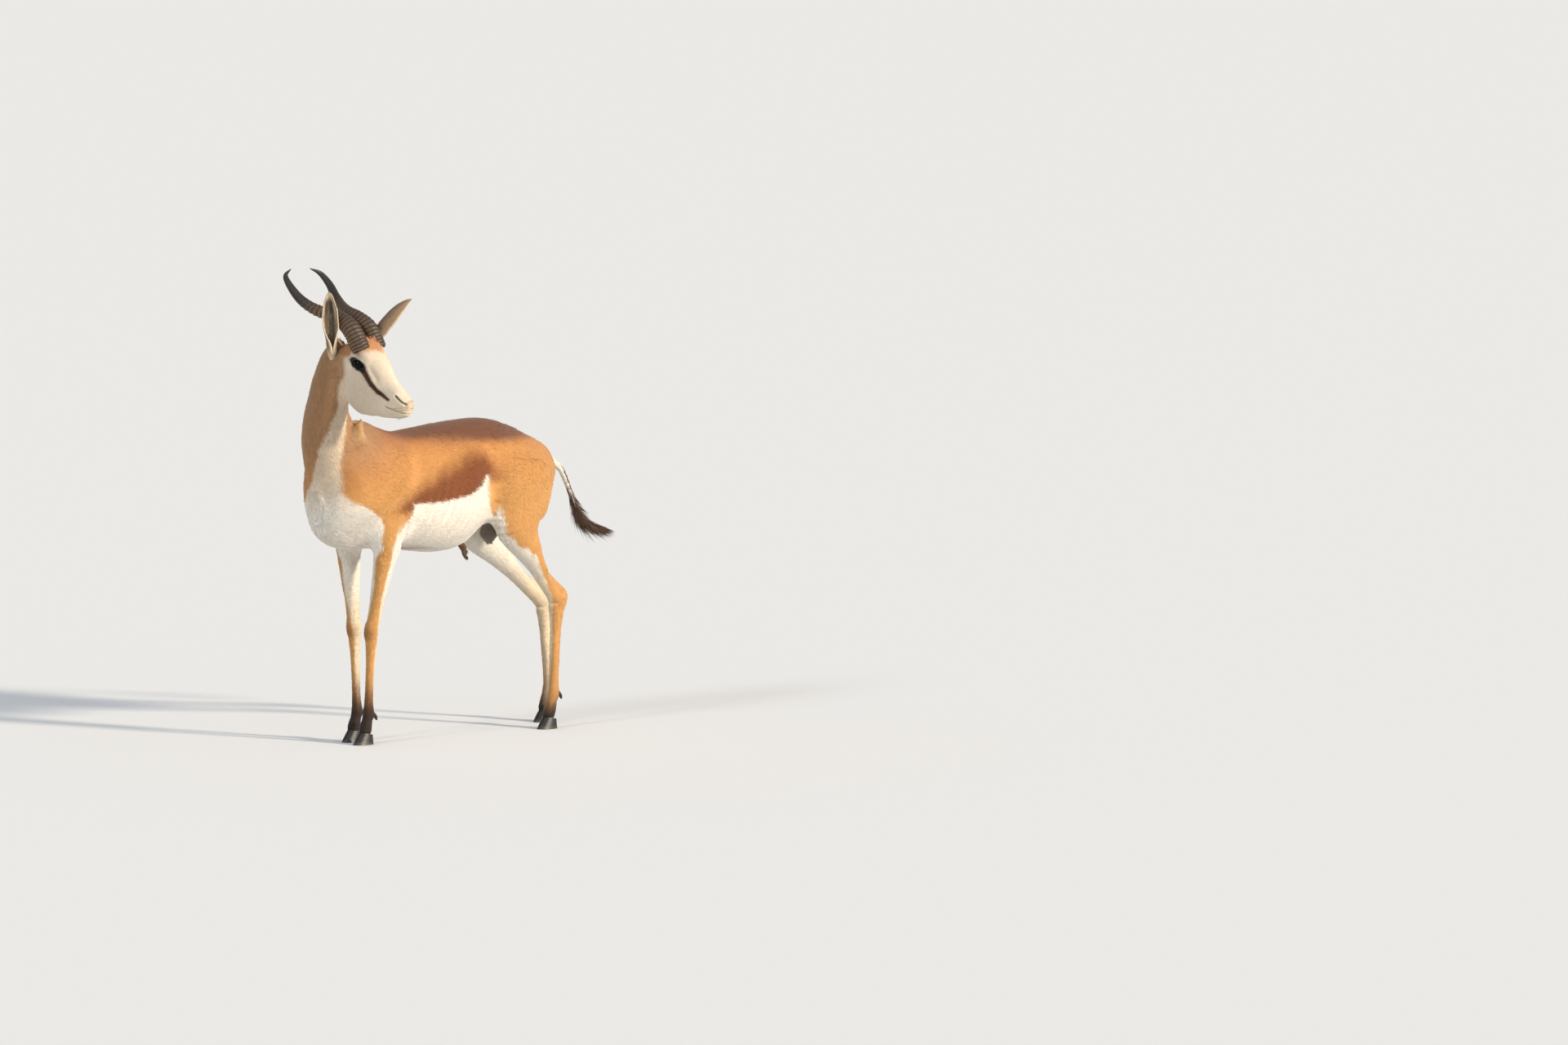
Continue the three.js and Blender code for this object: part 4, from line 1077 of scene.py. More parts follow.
def trunk_colour(points, blur):
    """Cinnamon back and flanks, the dark band, the white belly, and a darker top with a dark stripe along the
    spine that fans out on the croup; top and stripe are partly hair colour and partly painted shade.
    """
    x, y, z = points.T
    colour = mix(TAN, RICH_TAN, ramp(z, 0.60, 0.72) * 0.6)
    # Painted shade, partly hair colour: the top of the trunk darkens upwards, and a dark stripe runs along
    # the spine, widening towards the croup.
    colour = mix(colour, BACK_TAN_AND_SHADE, ramp(z + 0.012 * blur, 0.725, 0.79))
    half = 0.020 + 0.055 * ramp(-x, 0.02, 0.5)
    top = ramp(z, 0.74, 0.765)
    colour = mix(colour, DORSAL_HAIR_AND_SHADE, (1 - ramp(np.abs(y) + 0.010 * blur, half, half + 0.035)) * top
                 * ramp(-x, -0.02, 0.16) * 0.85)
    low = np.interp(x, BAND_LOW[:, 0], BAND_LOW[:, 1])
    high = np.interp(x, BAND_HIGH[:, 0], BAND_HIGH[:, 1])
    fade = ramp(x, -0.42, -0.34) * (1 - ramp(x, -0.06, 0.01))
    band = (1 - ramp(z + 0.008 * blur, high - 0.042, high + 0.018)) * ramp(z, low - 0.030, low - 0.004) * fade
    colour = mix(colour, BAND, band)
    under = 1 - past(z + 0.0025 * blur, low, 0.003)
    reach = np.maximum(ramp(x, -0.36, -0.33) * (1 - ramp(x, 0.03, 0.06)), 1.0 * (np.abs(y) < 0.05))
    colour = mix(colour, WHITE, under * reach * (1 - upper_arm(points, blur)))
    fringe = np.exp(-((z - 0.492) / 0.006) ** 2) * np.exp(-((x + 0.10) / 0.12) ** 2) * (np.abs(y) < 0.06)
    return mix(colour, KNEE, fringe * 0.5)


def rump_colour(points, blur):
    """Masks of the white patch behind, from the root of the tail down between the thighs, and its edge"""
    x, y, z = points.T
    half = np.interp(z, [0.42, 0.50, 0.60, 0.70, 0.755], [0.018, 0.040, 0.060, 0.052, 0.02])
    behind = 1 - ramp(x, -0.60, -0.575)
    side = np.abs(y) + 0.004 * blur
    patch = (1 - ramp(side, half, half + 0.005)) * behind * (z < 0.76)
    edge = np.exp(-((side - half - 0.010) / 0.008) ** 2) * behind * ramp(z, 0.5, 0.56) * (z < 0.76)
    return patch, edge


def leg_colour(points, legs, colour, blur):
    """Legs: tan outside, white inside and along one edge, brown and then nearly black at the feet"""
    down, angle, front = legs["down"], legs["angle"] + 7 * blur, legs["front"]
    z = points[:, 2]
    spans = [0.6, 0.8, 1.0, 1.17, 1.34, 1.53, 1.7, 1.9, 2.1, 2.6, 3.0]
    f_low = np.interp(down, spans, [-10, 10, 20, 0, 5, 9, -5, -30, -45, -35, -60])
    f_high = np.interp(down, spans, [110, 95, 88, 98, 92, 86, 95, 105, 118, 118, 150])
    h_low = np.interp(down, spans, [0, 12, 24, 42, 70, 58, 50, 24, 18, 10, -10])
    h_high = np.interp(down, spans, [215, 207, 200, 198, 195, 190, 188, 185, 190, 190, 200])
    low, high = np.where(front, f_low, h_low), np.where(front, f_high, h_high)
    turned = np.where(angle < low - 90, angle + 360, angle)
    on_tan = past(turned, low, 9) * (1 - past(turned, high, 9))
    leg = mix(mix(WHITE, CREAM, ramp(down, 1.2, 2.0)), TAN, on_tan)
    knee = np.exp(-((down - 2.0) / 0.09) ** 2) * np.exp(-(angle / 70) ** 2) * front
    leg = mix(leg, KNEE, knee * 0.65)
    leg = mix(leg, KNEE, ramp(down, 2.35, 2.9) * np.where(front, 0.75, 0.25))
    foot = np.where(front, ramp(z + 0.015 * blur, 0.070, 0.175), ramp(z + 0.015 * blur, 0.040, 0.110))
    leg = mix(leg, FOOT, 1 - foot)
    return mix(colour, leg, np.where(front, ramp(down, 0.62, 1.0), ramp(down, 0.45, 0.8)))


def hind_white(points, blur):
    """Mask of the white in front of the thigh and inside it"""
    x, y, z = points.T
    edge = np.interp(z, THIGH_EDGE[:, 0], THIGH_EDGE[:, 1])
    low = np.interp(x, BAND_LOW[:, 0], BAND_LOW[:, 1])
    ahead = past(x + 0.003 * blur, edge, 0.003) * (x < -0.3)
    ahead = ahead * (1 - past(z + 0.0025 * blur, low, 0.003))
    inner = (1 - ramp(np.abs(y), 0.055, 0.07)) * (1 - ramp(z, 0.56, 0.60)) * ramp(-x, 0.33, 0.35)
    return np.maximum(ahead, inner)


def throat_colour(points, blur):
    """Mask of the white band down the throat. It faces the way the head does at the top and forwards
    at the chest, and it is widest under the jaw and on the brisket."""
    part = PARTS["neck"]
    row = np.clip(nearest_row(part, points).astype(int), 0, len(part["run"]) - 1)
    gap = points - part["centre"][row]
    heading = np.degrees(np.arctan2(gap[:, 1], gap[:, 0]))
    z = points[:, 2]
    heights = [0.56, 0.60, 0.615, 0.635, 0.66, 0.715, 0.79, 0.875, 0.93]
    middle = np.interp(z, heights, [0, 6, 10, 14, 18, 31, 64, 106, 112])
    half = np.interp(z, heights, [95, 70, 48, 30, 26, 25, 24, 28, 50])
    return 1 - ramp(np.abs(heading - middle) + 4 * blur, half - 5, half + 7)


# The stripe of the face, seen from the side: forward and up, and its half width there
STRIPE_LINE = np.array([[16, -13], [31, -20], [50, -44], [72, -61], [103, -73]]) * MM
STRIPE_WIDTH = np.array([6.0, 6.5, 6.4, 6.0, 3.6]) * MM


def face_colour(local, blur):
    """Colours of the head on its own axes"""
    forward, left, up = local.T
    across = np.abs(left)
    nape = 1 - ramp(forward + 0.006 * blur, -0.052, -0.030)
    cheek_back = ramp(up, -0.085, -0.06)
    colour = mix(FACE, NECK_TAN, nape * cheek_back)
    crown = ramp(up, 0.028, 0.042) * (1 - ramp(forward, -0.03, -0.012))
    colour = mix(colour, RICH_TAN, crown)
    edge = forward + 0.85 * across + 0.005 * blur
    patch = (1 - ramp(edge, 0.036, 0.052)) * ramp(forward, -0.03, -0.015) * ramp(up, 0.016, 0.026)
    colour = mix(colour, FOREHEAD, patch * 0.9)
    temple = np.hypot(forward + 0.034, (up - 0.024) / 1.2)
    colour = mix(colour, FOREHEAD * 0.8, (1 - ramp(temple, 0.010, 0.022)) * (across > 0.03) * 0.9)
    off = path_distance(local[:, [0, 2]], STRIPE_LINE)
    width = np.interp(forward, STRIPE_LINE[:, 0], STRIPE_WIDTH)
    stripe = 1 - ramp(off + 0.0014 * blur, width - 0.001, width + 0.0025)
    colour = mix(colour, STRIPE, stripe * (across > 0.008))
    speckle = ramp(wave(local, 0.006, 31) + 0.7 * wave(local, 0.0035, 33), 0.9, 1.5)
    colour = mix(colour, KNEE, speckle * ramp(forward, 0.0, 0.03) * 0.35)
    for side in SIDES.values():
        edge, along, over, _ = almond(local, side)
        close = eye_gap(local, side) < 0.045
        flat = np.hypot((along - 0.001) / 0.0285, (over + 0.12 * along) / 0.0140)
        colour = mix(colour, SURROUND, (1 - ramp(flat + 0.06 * blur, 0.88, 1.08)) * close)
        brow = np.exp(-((over - 0.024) / 0.007) ** 2 - ((along + 0.010) / 0.015) ** 2) * close
        colour = mix(colour, KNEE, brow * 0.6)
        colour = mix(colour, tone(20, 15, 13), (1 - ramp(edge, 1.02, 1.2)) * close)
    nose = ramp(forward, 0.150, 0.158) * ramp(up, -0.092, -0.086) * (1 - ramp(up, -0.066, -0.058))
    colour = mix(colour, NOSE, nose * 0.6)
    # Dark inside the nostrils, darker where the slit is deeper: partly the nostril's dark skin, partly
    # painted shade of its hollow.
    colour = mix(colour, tone(22, 16, 15), ramp(nostrils(local), 0.0016, 0.0036))
    # Dark line along the mouth: partly the dark inner edges of the lips, partly painted shade in the slit
    # between them.
    lips = np.exp(-((up - mouth_height(forward)) / 0.0016) ** 2) * ramp(forward, 0.088, 0.098)
    colour = mix(colour, tone(66, 48, 40), lips * 0.9)
    muzzle = ramp(forward, 0.095, 0.125) * ramp(-up, 0.055, 0.075)
    return mix(colour, CREAM, muzzle * 0.45)


def coat_colour(points):
    """The colour of the coat at places on the body"""
    blur = 0.6 * wave(points, 0.035, 3) + 0.4 * wave(points, 0.011, 5)
    z = points[:, 2]
    head_gap = near_shell("head", points)
    neck_gap = near_shell("neck", points)
    trunk_gap = near_shell("trunk", points)
    colour = trunk_colour(points, blur)
    neck = ramp(trunk_gap - neck_gap, -0.03, 0.03) * ramp(z, 0.60, 0.70)
    colour = mix(colour, mix(NECK_TAN, RICH_TAN, 1 - ramp(z, 0.62, 0.80)), neck)
    legs = leg_angles(points)
    on_leg = ramp(legs["gap"] - trunk_gap, 0.0, 0.012)
    patch, edge = rump_colour(points, blur)
    colour = mix(leg_colour(points, legs, colour, blur), colour, on_leg)
    colour = mix(colour, WHITE, hind_white(points, blur) * (z > 0.44))
    colour = mix(colour, RICH_TAN * 0.7, edge * 0.8)
    colour = mix(colour, WHITE, patch)
    chest = (points[:, 0] > 0.0) * (z > 0.5)
    throat = throat_colour(points, blur) * ((neck_gap < 0.05) | (chest & (z < 0.72)))
    brisket = (1 - ramp(z + 0.004 * blur, 0.600, 0.612)) * ramp(points[:, 0], 0.0, 0.01)
    brisket = brisket * (z > 0.47) * (legs["down"] < 0.95)
    pale = np.maximum(throat * (head_gap > 0.0), brisket) * (z > 0.47)
    band = mix(WHITE, THROAT, ramp(z, 0.58, 0.70))
    colour = mix(colour, band, pale * (1 - upper_arm(points, blur)))
    fold = 1 - ramp(near_shell("fold", points, 0.04), 0.002, 0.014)
    colour = mix(colour, FOLD_TAN, fold * ramp(z, 0.77, 0.81) * 0.85)
    scrotum = 1 - ramp(near_shell("scrotum", points, 0.03), 0.0, 0.006)
    colour = mix(colour, BARE, scrotum * (z < 0.56))
    sheath = 1 - ramp(near_shell("sheath", points, 0.03), 0.0, 0.004)
    colour = mix(colour, SHEATH, sheath * (z < 0.49))
    head = ramp(neck_gap - head_gap, -0.004, 0.010) * (z > 0.84)
    return mix(colour, face_colour(to_head(points), blur), head)


# %% [markdown]
# ## Materials
#
# Hair, horn and hoof share two effects, so these are node groups: a mottle that breaks a colour
# into lighter and darker spots, and a fine grain for the bump. Colours come from the attribute
# that every piece carries. The shaders stay in the materials, each with its own gloss.

# %% Node groups
def node_group(name, inputs, outputs):
    """An empty shader group with named sockets"""
    group = bpy.data.node_groups.new(name, "ShaderNodeTree")
    for label, kind, value in inputs:
        socket = group.interface.new_socket(name=label, in_out="INPUT", socket_type=kind)
        socket.default_value = value
    for label, kind in outputs:
        group.interface.new_socket(name=label, in_out="OUTPUT", socket_type=kind)
    return group, group.nodes.new("NodeGroupInput"), group.nodes.new("NodeGroupOutput")


def node(tree, kind, values, **settings):
    """A new node with its settings, and values for its inputs by name or number"""
    new = tree.nodes.new("ShaderNode" + kind)
    for key, value in settings.items():
        setattr(new, key, value)
    for key, value in values.items():
        new.inputs[key].default_value = value
    return new


def mottle_group():
    """Colour times 1 + amount * (4 noise - 2), with a noise from 0 to 1"""
    group, given, result = node_group(
        "Mottle", [("Colour", "NodeSocketColor", (0.5, 0.5, 0.5, 1)), ("Scale", "NodeSocketFloat", 60.0),
                   ("Amount", "NodeSocketFloat", 0.1)], [("Colour", "NodeSocketColor")])
    place = node(group, "TexCoord", {})
    noise = node(group, "TexNoise", {"Detail": 6, "Roughness": 0.65})
    centred = node(group, "Math", {1: 4.0, 2: -2.0}, operation="MULTIPLY_ADD")
    spread = node(group, "Math", {2: 1.0}, operation="MULTIPLY_ADD")
    tinted = node(group, "VectorMath", {}, operation="SCALE")
    link = group.links.new
    link(place.outputs["Object"], noise.inputs["Vector"])
    link(given.outputs["Scale"], noise.inputs["Scale"])
    link(noise.outputs["Fac"], centred.inputs[0])
    link(centred.outputs[0], spread.inputs[0])
    link(given.outputs["Amount"], spread.inputs[1])
    link(given.outputs["Colour"], tinted.inputs[0])
    link(spread.outputs[0], tinted.inputs["Scale"])
    link(tinted.outputs[0], result.inputs["Colour"])
    return group


def grain_group():
    """Height of a fine grain: noise on coordinates that are stretched along one axis"""
    group, given, result = node_group(
        "Grain", [("Scale", "NodeSocketFloat", 400.0), ("Stretch", "NodeSocketVector", (1, 1, 1))],
        [("Height", "NodeSocketFloat")])
    place = node(group, "TexCoord", {})
    stretched = node(group, "VectorMath", {}, operation="MULTIPLY")
    noise = node(group, "TexNoise", {"Detail": 4})
    link = group.links.new
    link(place.outputs["Object"], stretched.inputs[0])
    link(given.outputs["Stretch"], stretched.inputs[1])
    link(stretched.outputs[0], noise.inputs["Vector"])
    link(given.outputs["Scale"], noise.inputs["Scale"])
    link(noise.outputs["Fac"], result.inputs["Height"])
    return group


MOTTLE, GRAIN = mottle_group(), grain_group()


def finish(name, roughness, mottle, grain, sheen=0.0, specular=0.5):
    """A material: the colour attribute, mottled, on a shader with the given gloss. Mottle is scale and
    amount; grain is scale, stretch, strength and depth of a bump, or none."""
    material = bpy.data.materials.new(name)
    material.use_nodes = True
    tree = material.node_tree
    link = tree.links.new
    shader = tree.nodes["Principled BSDF"]
    for key, value in (("Roughness", roughness), ("Sheen Weight", sheen), ("Specular IOR Level", specular)):
        shader.inputs[key].default_value = value
    marks = node(tree, "Attribute", {}, attribute_name="Markings")
    spots = node(tree, "Group", {"Scale": mottle[0], "Amount": mottle[1]}, node_tree=MOTTLE)
    link(marks.outputs["Color"], spots.inputs["Colour"])
    link(spots.outputs["Colour"], shader.inputs["Base Color"])
    if grain:
        scale, stretch, strength, depth = grain
        fine = node(tree, "Group", {"Scale": scale, "Stretch": stretch}, node_tree=GRAIN)
        bump = node(tree, "Bump", {"Strength": strength, "Distance": depth})
        link(fine.outputs["Height"], bump.inputs["Height"])
        link(bump.outputs["Normal"], shader.inputs["Normal"])
    return material


SKIN = finish("Short coat", 0.85, (90, 0.08), (900, (1, 1, 1), 0.5, 0.0012), sheen=0.2, specular=0.2)
HAIR = finish("Hair", 0.7, (140, 0.06), None, sheen=0.25, specular=0.25)
HORN = finish("Horn", 0.5, (70, 0.22), (500, (1, 1, 1), 0.35, 0.0008))
HOOF = finish("Hoof", 0.42, (120, 0.25), (300, (1, 1, 3), 0.3, 0.0006))
EYE = finish("Eye", 0.03, (900, 0.15), None, specular=0.12)


def dress(thing, material, slot, *nodes):
    """Gives a piece its material and its body, and hides the nodes it stands for; the finish slot is not
    used.
    """
    thing.data.materials.append(material)
    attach(thing, "root")
    if nodes:
        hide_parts(*nodes)


# %% The skin
skin = make_mesh("skin", skin_points, skin_faces)
skin_colours = coat_colour(skin_points)
give_colours(skin, skin_colours)
dress(skin, SKIN, "coat", "torso", "neck", "head", "left_front_leg", "right_front_leg",
      "left_hind_leg", "right_hind_leg")
print("skin", len(skin_faces), "triangles")

# %% [markdown]
# ## Eyes
#
# A springbok's eye is dark brown, nearly black, with a wide pupil that lies level. The ball is a
# sphere with a slightly raised cornea. The look of the eye comes from its gloss, and from the
# iris, which is only a little lighter than the pupil.

# %% Eyeballs
def sphere(rows, sides):
    """Points of a unit sphere, ring by ring from the pole at +z, then the two poles; and its triangles."""
    v = np.linspace(0, np.pi, rows + 2)[1:-1, None]
    u = np.linspace(0, 2 * np.pi, sides, endpoint=False)
    rings = np.stack([np.sin(v) * np.cos(u), np.sin(v) * np.sin(u), np.cos(v) + 0 * u], -1).reshape(-1, 3)
    return np.concatenate([rings, [[0, 0, 1], [0, 0, -1]]]), closed_tube(rows, sides)


def eyeball(name, side):
    """The ball: radius 17.5 mm, and the cornea stands out by a cosine bulge of 0.7 mm."""
    ball, faces = sphere(72, 48)
    bulge = 0.7 * MM * ramp(ball[:, 2], 0.62, 1.0)
    local = mirrored(EYE_AT, side) + (ball * (EYE_RADIUS + bulge - 0.4 * MM)[:, None]) @ eye_axes(side).T
    thing = make_mesh(name + "ball", from_head(local), outward(local, faces))
    iris = ramp(ball[:, 2], 0.46, 0.54)
    pupil = 1 - ramp(np.hypot(ball[:, 0] / 0.52, ball[:, 1] / 0.34), 0.85, 1.05)
    streaks = 0.85 + 0.3 * np.sin(np.arctan2(ball[:, 1], ball[:, 0]) * 24) ** 2
    colour = mix(tone(20, 15, 14), tone(17, 10, 7), iris)
    colour = mix(colour * streaks[:, None], tone(2, 2, 4), pupil * (ball[:, 2] > 0))
    give_colours(thing, colour)
    dress(thing, EYE, "eye", name)


for name, side in SIDES.items():
    eyeball(name + "_eye", side)

# %% [markdown]
# ## Horns
#
# The horns of a ram curve back, out and in again, and their lower two thirds carry thick rings,
# one above the other, with sharp grooves between. The surface is a tube along the horn's middle
# line whose radius follows the rings: high and rounded in front, weaker behind.

# %% Horn surface
HORN_PATH = [
    [1.5, 30.8, 28], [-9, 31, 40], [-40, 31.5, 72], [-78, 30.5, 88], [-116, 38, 93], [-153, 54, 99],
    [-189, 67.5, 114], [-221, 75, 138], [-250, 68, 160], [-261, 38, 173],
]
HORN_RADII = [21.5, 23.0, 22.4, 19.4, 15.9, 13.8, 12.0, 9.4, 6.2, 1.0]
LEFT_HORN_LOWERED = 0.02               # share of the way back by which the left horn lies lower
HORN_RINGS = 24
FIRST_RING, RING_GROWTH = 8.4 * MM, 0.20 * MM
RING_HEIGHT = 3.8 * MM


def horn(name, side):
    """The tube's radius at a place is the plain radius plus ring height times sin(pi f)^0.6, where f is
    the share of the way from one groove to the next. Rings are 8.4 mm apart at the base and 0.2 mm
    more with each ring. A slow wave round the horn bends them, so no two are alike."""
    path = np.array(HORN_PATH) * [1, side, 1]
    path[:, 2] -= (LEFT_HORN_LOWERED if side > 0 else 0) * (HORN_ROOT[0] - path[:, 0])
    rows = spline(np.column_stack([path, HORN_RADII]), 46) * MM
    centre, radius = rows[:, :3], rows[:, 3]
    along = unit(np.gradient(centre, axis=0))
    run = run_along(centre)
    level = np.array([0, 1.0, 0])
    level = unit(level - (along @ level)[:, None] * along)
    over = np.cross(along, level)
    grooves = np.concatenate([[0], np.cumsum(FIRST_RING + RING_GROWTH * np.arange(HORN_RINGS))])
    angle = np.linspace(0, 2 * np.pi, 64, endpoint=False)
    place = (run[:, None] + 1.3 * MM * np.sin(2 * angle + run[:, None] * 60)
             + 0.8 * MM * np.sin(5 * angle + 1.7))
    turn = np.interp(place, grooves, np.arange(len(grooves)))
    ring = np.abs(np.sin(np.pi * turn)) ** 0.6
    ringed = 1 - ramp(place, grooves[-1] * 0.62, grooves[-1])
    front = 0.72 + 0.28 * np.cos(angle - np.pi / 2)
    size = (radius / radius[0])[:, None]
    height = RING_HEIGHT * size**0.8 * ring * ringed * front
    height += 0.25 * MM * np.sin(9 * angle + 40 * run[:, None]) * ringed * ring
    reach = radius[:, None] + height - 1.2 * MM * ringed
    grid = (centre[:, None] + (reach * 0.96 * np.cos(angle))[..., None] * level[:, None]
            + (reach * 1.04 * np.sin(angle))[..., None] * over[:, None])
    count, sides = reach.shape
    ends = centre[[0, -1]] + along[[0, -1]] * np.array([[-2.0], [1.5]]) * MM
    points = np.concatenate([grid.reshape(-1, 3), ends])
    thing = make_mesh(name + "_sheath", from_head(points), outward(points, closed_tube(count, sides)))
    crest = np.clip(ring * ringed * front, 0, 1) ** 1.6
    tip = ramp(run / run[-1], 0.62, 0.95)[:, None] + 0 * angle
    base = mix(tone(30, 23, 18), tone(134, 100, 66), crest.ravel())
    base = mix(base, tone(46, 40, 37), tip.ravel() * 0.8)
    give_colours(thing, np.concatenate([base, base[[0, -1]]]))
    dress(thing, HORN, "horn", name)


for name, side in SIDES.items():
    horn(name + "_horn", side)

# %% [markdown]
# ## Ears
#
# An antelope's ear is a long leaf rolled to a cup. At the root its edges overlap, further up the
# cup opens, and it ends in a point. Each cross section is an arc of a circle with a wall that
# thins to the rim. Radius, spread of the arc and wall change along the ear.

# %% Ear surface
# Tan of the ear's back, darkened with painted shade.
EAR_BACK_AND_SHADE = tone(132, 104, 80)
EAR_OPEN = {"left": np.array([0.33, 0.95, 0]), "right": np.array([0.78, 0.6, 0])}
EAR_LENGTH = 179
# Stations of an ear: share of its length, half width, half angle of the arc in degrees, wall
EAR_STATIONS = np.array([
    [-0.03, 5, 176, 4.6], [0, 7.5, 176, 6.5], [0.05, 9.5, 175, 6.8], [0.12, 12, 172, 6],
    [0.2, 13.2, 165, 5], [0.28, 14, 145, 3.8], [0.36, 16, 115, 3.2], [0.46, 19.6, 92, 2.8],
    [0.56, 20.8, 82, 2.6], [0.67, 20.4, 74, 2.5], [0.78, 17.6, 68, 2.3], [0.87, 13.2, 64, 2.0],
    [0.94, 8.2, 60, 1.6], [0.98, 4.0, 58, 1.2], [1, 1.4, 56, 0.8],
])


def ear_axes(name):
    """Columns: along the ear, the way its cup faces, and across it."""
    side = SIDES[name]
    way = mirrored(EAR_WAYS[name], side)
    facing = mirrored(EAR_OPEN[name], side)
    facing = unit(facing - facing @ way * way)
    return np.stack([way, facing, np.cross(way, facing)], 1)


def ear_place(name, share, turn, depth):
    """Place in the wall of an ear, on the head's axes: share along it, turn from -1 at one rim to 1 at
    the other, depth from 1 on the outer face to -1 on the inner one. The arc has the radius that
    gives the station's half width, and its centre lies on the ear's middle line."""
    rows = spline(EAR_STATIONS, 24)
    wide, spread, wall = (np.interp(share, rows[:, 0], rows[:, k]) for k in (1, 2, 3))
    spread = np.radians(spread)
    radius = wide / np.sin(np.minimum(spread, np.pi / 2))
    thin = wall / 2 * (1 - 0.6 * np.abs(turn) ** 3)
    ripple = 0.5 * np.sin(share * 26 + turn * 2) * np.abs(turn) ** 4
    reach = radius - wall / 2 + thin * depth + ripple
    angle = spread * turn
    up = EAR_LENGTH * share
    out = 3 * np.sin(np.clip(share, 0, 1) * np.pi) - reach * np.cos(angle)
    across = reach * np.sin(angle)
    local = np.stack([up, out, across], -1) * MM
    return mirrored(EAR_ROOTS[name], SIDES[name]) * MM + local @ ear_axes(name).T


def ear(name):
    """A closed shell: for every row the outer face from rim to rim, round the rim, and the inner face back"""
    rows, arc, rim = 84, 34, 4
    share = np.linspace(-0.03, 1, rows)[:, None]
    round_rim = np.linspace(0, np.pi, rim + 2)[1:-1]
    turn = np.concatenate([np.linspace(-1, 1, arc), np.full(rim, 1.0),
                           np.linspace(1, -1, arc), np.full(rim, -1.0)])
    depth = np.concatenate([np.full(arc, 1.0), np.cos(round_rim), np.full(arc, -1.0), -np.cos(round_rim)])
    bow = np.concatenate([np.zeros(arc), np.sin(round_rim), np.zeros(arc), -np.sin(round_rim)])
    grid = ear_place(name, share + 0 * turn, turn + 0.035 * bow, depth + 0 * share)
    local = grid.reshape(-1, 3)
    sides = len(turn)
    half = rim // 2
    front = np.concatenate([sides - half + np.arange(half), np.arange(arc + half)])
    back = sides - half - 1 - np.arange(len(front))
    end = cut_in_two(np.stack([front[:-1], front[1:], back[1:], back[:-1]], 1))
    faces = np.concatenate([cut_in_two(grid_faces(rows, sides)), end, end[:, ::-1] + (rows - 1) * sides])
    thing = make_mesh(name + "_ear_cup", from_head(local), outward(local, faces))
    inner = np.tile(depth < 0.5, rows)
    edge = np.abs(np.tile(turn, rows))
    along = np.repeat(share[:, 0], sides)
    dark = inner * (1 - ramp(edge, 0.42, 0.80)) * ramp(along, 0.10, 0.25) * (1 - ramp(along, 0.82, 0.97))
    # Painted shade: the middle of the ear's back is darkened to a deeper tan, the rims stay cream.
    behind = ~inner * (1 - ramp(edge, 0.75, 0.98)) * ramp(along, 0.02, 0.2)
    colour = mix(CREAM, EAR_BACK_AND_SHADE, behind * 0.85)
    colour = mix(colour, tone(42, 30, 24), dark * 0.95)
    streak = 0.5 + 0.5 * np.cos(np.tile(turn, rows) * 9.5)
    colour = mix(colour, tone(150, 128, 108), dark * streak**3 * 0.45)
    give_colours(thing, colour)
    dress(thing, SKIN, "coat", name + "_ear")


for name in SIDES:
    ear(name)

# %% [markdown]
# ## Hooves
#
# Each foot has two narrow, black hooves. A hoof is a wall that leans back from the toe, flat on
# the side of the cleft, with faint rings where it grew. The outline on the floor is a half
# ellipse, fuller at the heel, and the whole outline moves inwards up to the coronet.

# %% Hoof surface
HOOF_TOE, HOOF_HEEL, HOOF_HALF_WIDTH, HOOF_CLEFT = 37, 22, 19.5, 4
HOOF_FRONT_HEIGHT, HOOF_BACK_HEIGHT = 36, 24
TOE_LEAN, HEEL_LEAN, SIDE_LEAN = 22, 3, 3.5


def hoof(name, centre, way):
    """One hoof. At level v the outline runs from heel to toe as x = m + h cos(a), y = w sin(a)^0.8, and
    the wall swells by 0.25 mm where it carries a growth ring."""
    level = np.concatenate([[0, 0.02], np.linspace(0.05, 1, 26)])[:, None]
    angle = np.linspace(0, np.pi, 33)
    inset = np.where(level < 0.01, 0.8, 0) + 0.25 * np.cos(level * 40) * (level > 0.1) * (level < 0.95)
    toe, heel = HOOF_TOE - TOE_LEAN * level - inset, HOOF_HEEL - HEEL_LEAN * level - inset
    wide = HOOF_HALF_WIDTH - SIDE_LEAN * level - inset
    x = (toe - heel) / 2 + (toe + heel) / 2 * np.cos(angle)
    full = np.sin(angle) ** 0.8 * (0.9 - 0.1 * np.cos(angle))
    y = HOOF_CLEFT / 2 + (wide - HOOF_CLEFT / 2) * full
    top = HOOF_BACK_HEIGHT + (x + HOOF_HEEL) / (HOOF_TOE + HOOF_HEEL) * (HOOF_FRONT_HEIGHT - HOOF_BACK_HEIGHT)
    grid = np.stack([centre[0] + x, centre[1] + way * y, top * level], -1) * MM
    rows, sides = x.shape
    points = np.concatenate([grid.reshape(-1, 3), grid[0].mean(0)[None], grid[-1].mean(0)[None]])
    thing = make_mesh(name + "_wall", points, outward(points, closed_tube(rows, sides)))
    height = np.repeat(level[:, 0], sides)
    worn = 1 - ramp(height, 0.0, 0.35)
    colour = mix(tone(34, 30, 28), tone(92, 80, 68), worn * 0.6)
    give_colours(thing, np.concatenate([colour, colour[[0, -1]]]))
    dress(thing, HOOF, "hoof", name)


for leg, joints in JOINTS.items():
    away = np.sign(joints[0][1])
    hoof(leg + "_outer_hoof", joints[-1], away)
    hoof(leg + "_inner_hoof", joints[-1], -away)

# %% Dewclaws
# The middle line of a dewclaw from the fetlock: ahead, outwards and up, in millimetres
DEWCLAW, DEWCLAW_RADII = [[-8, 7, 2], [-17, 8.5, -8], [-21, 9, -17]], [5.2, 4.8, 2.2]


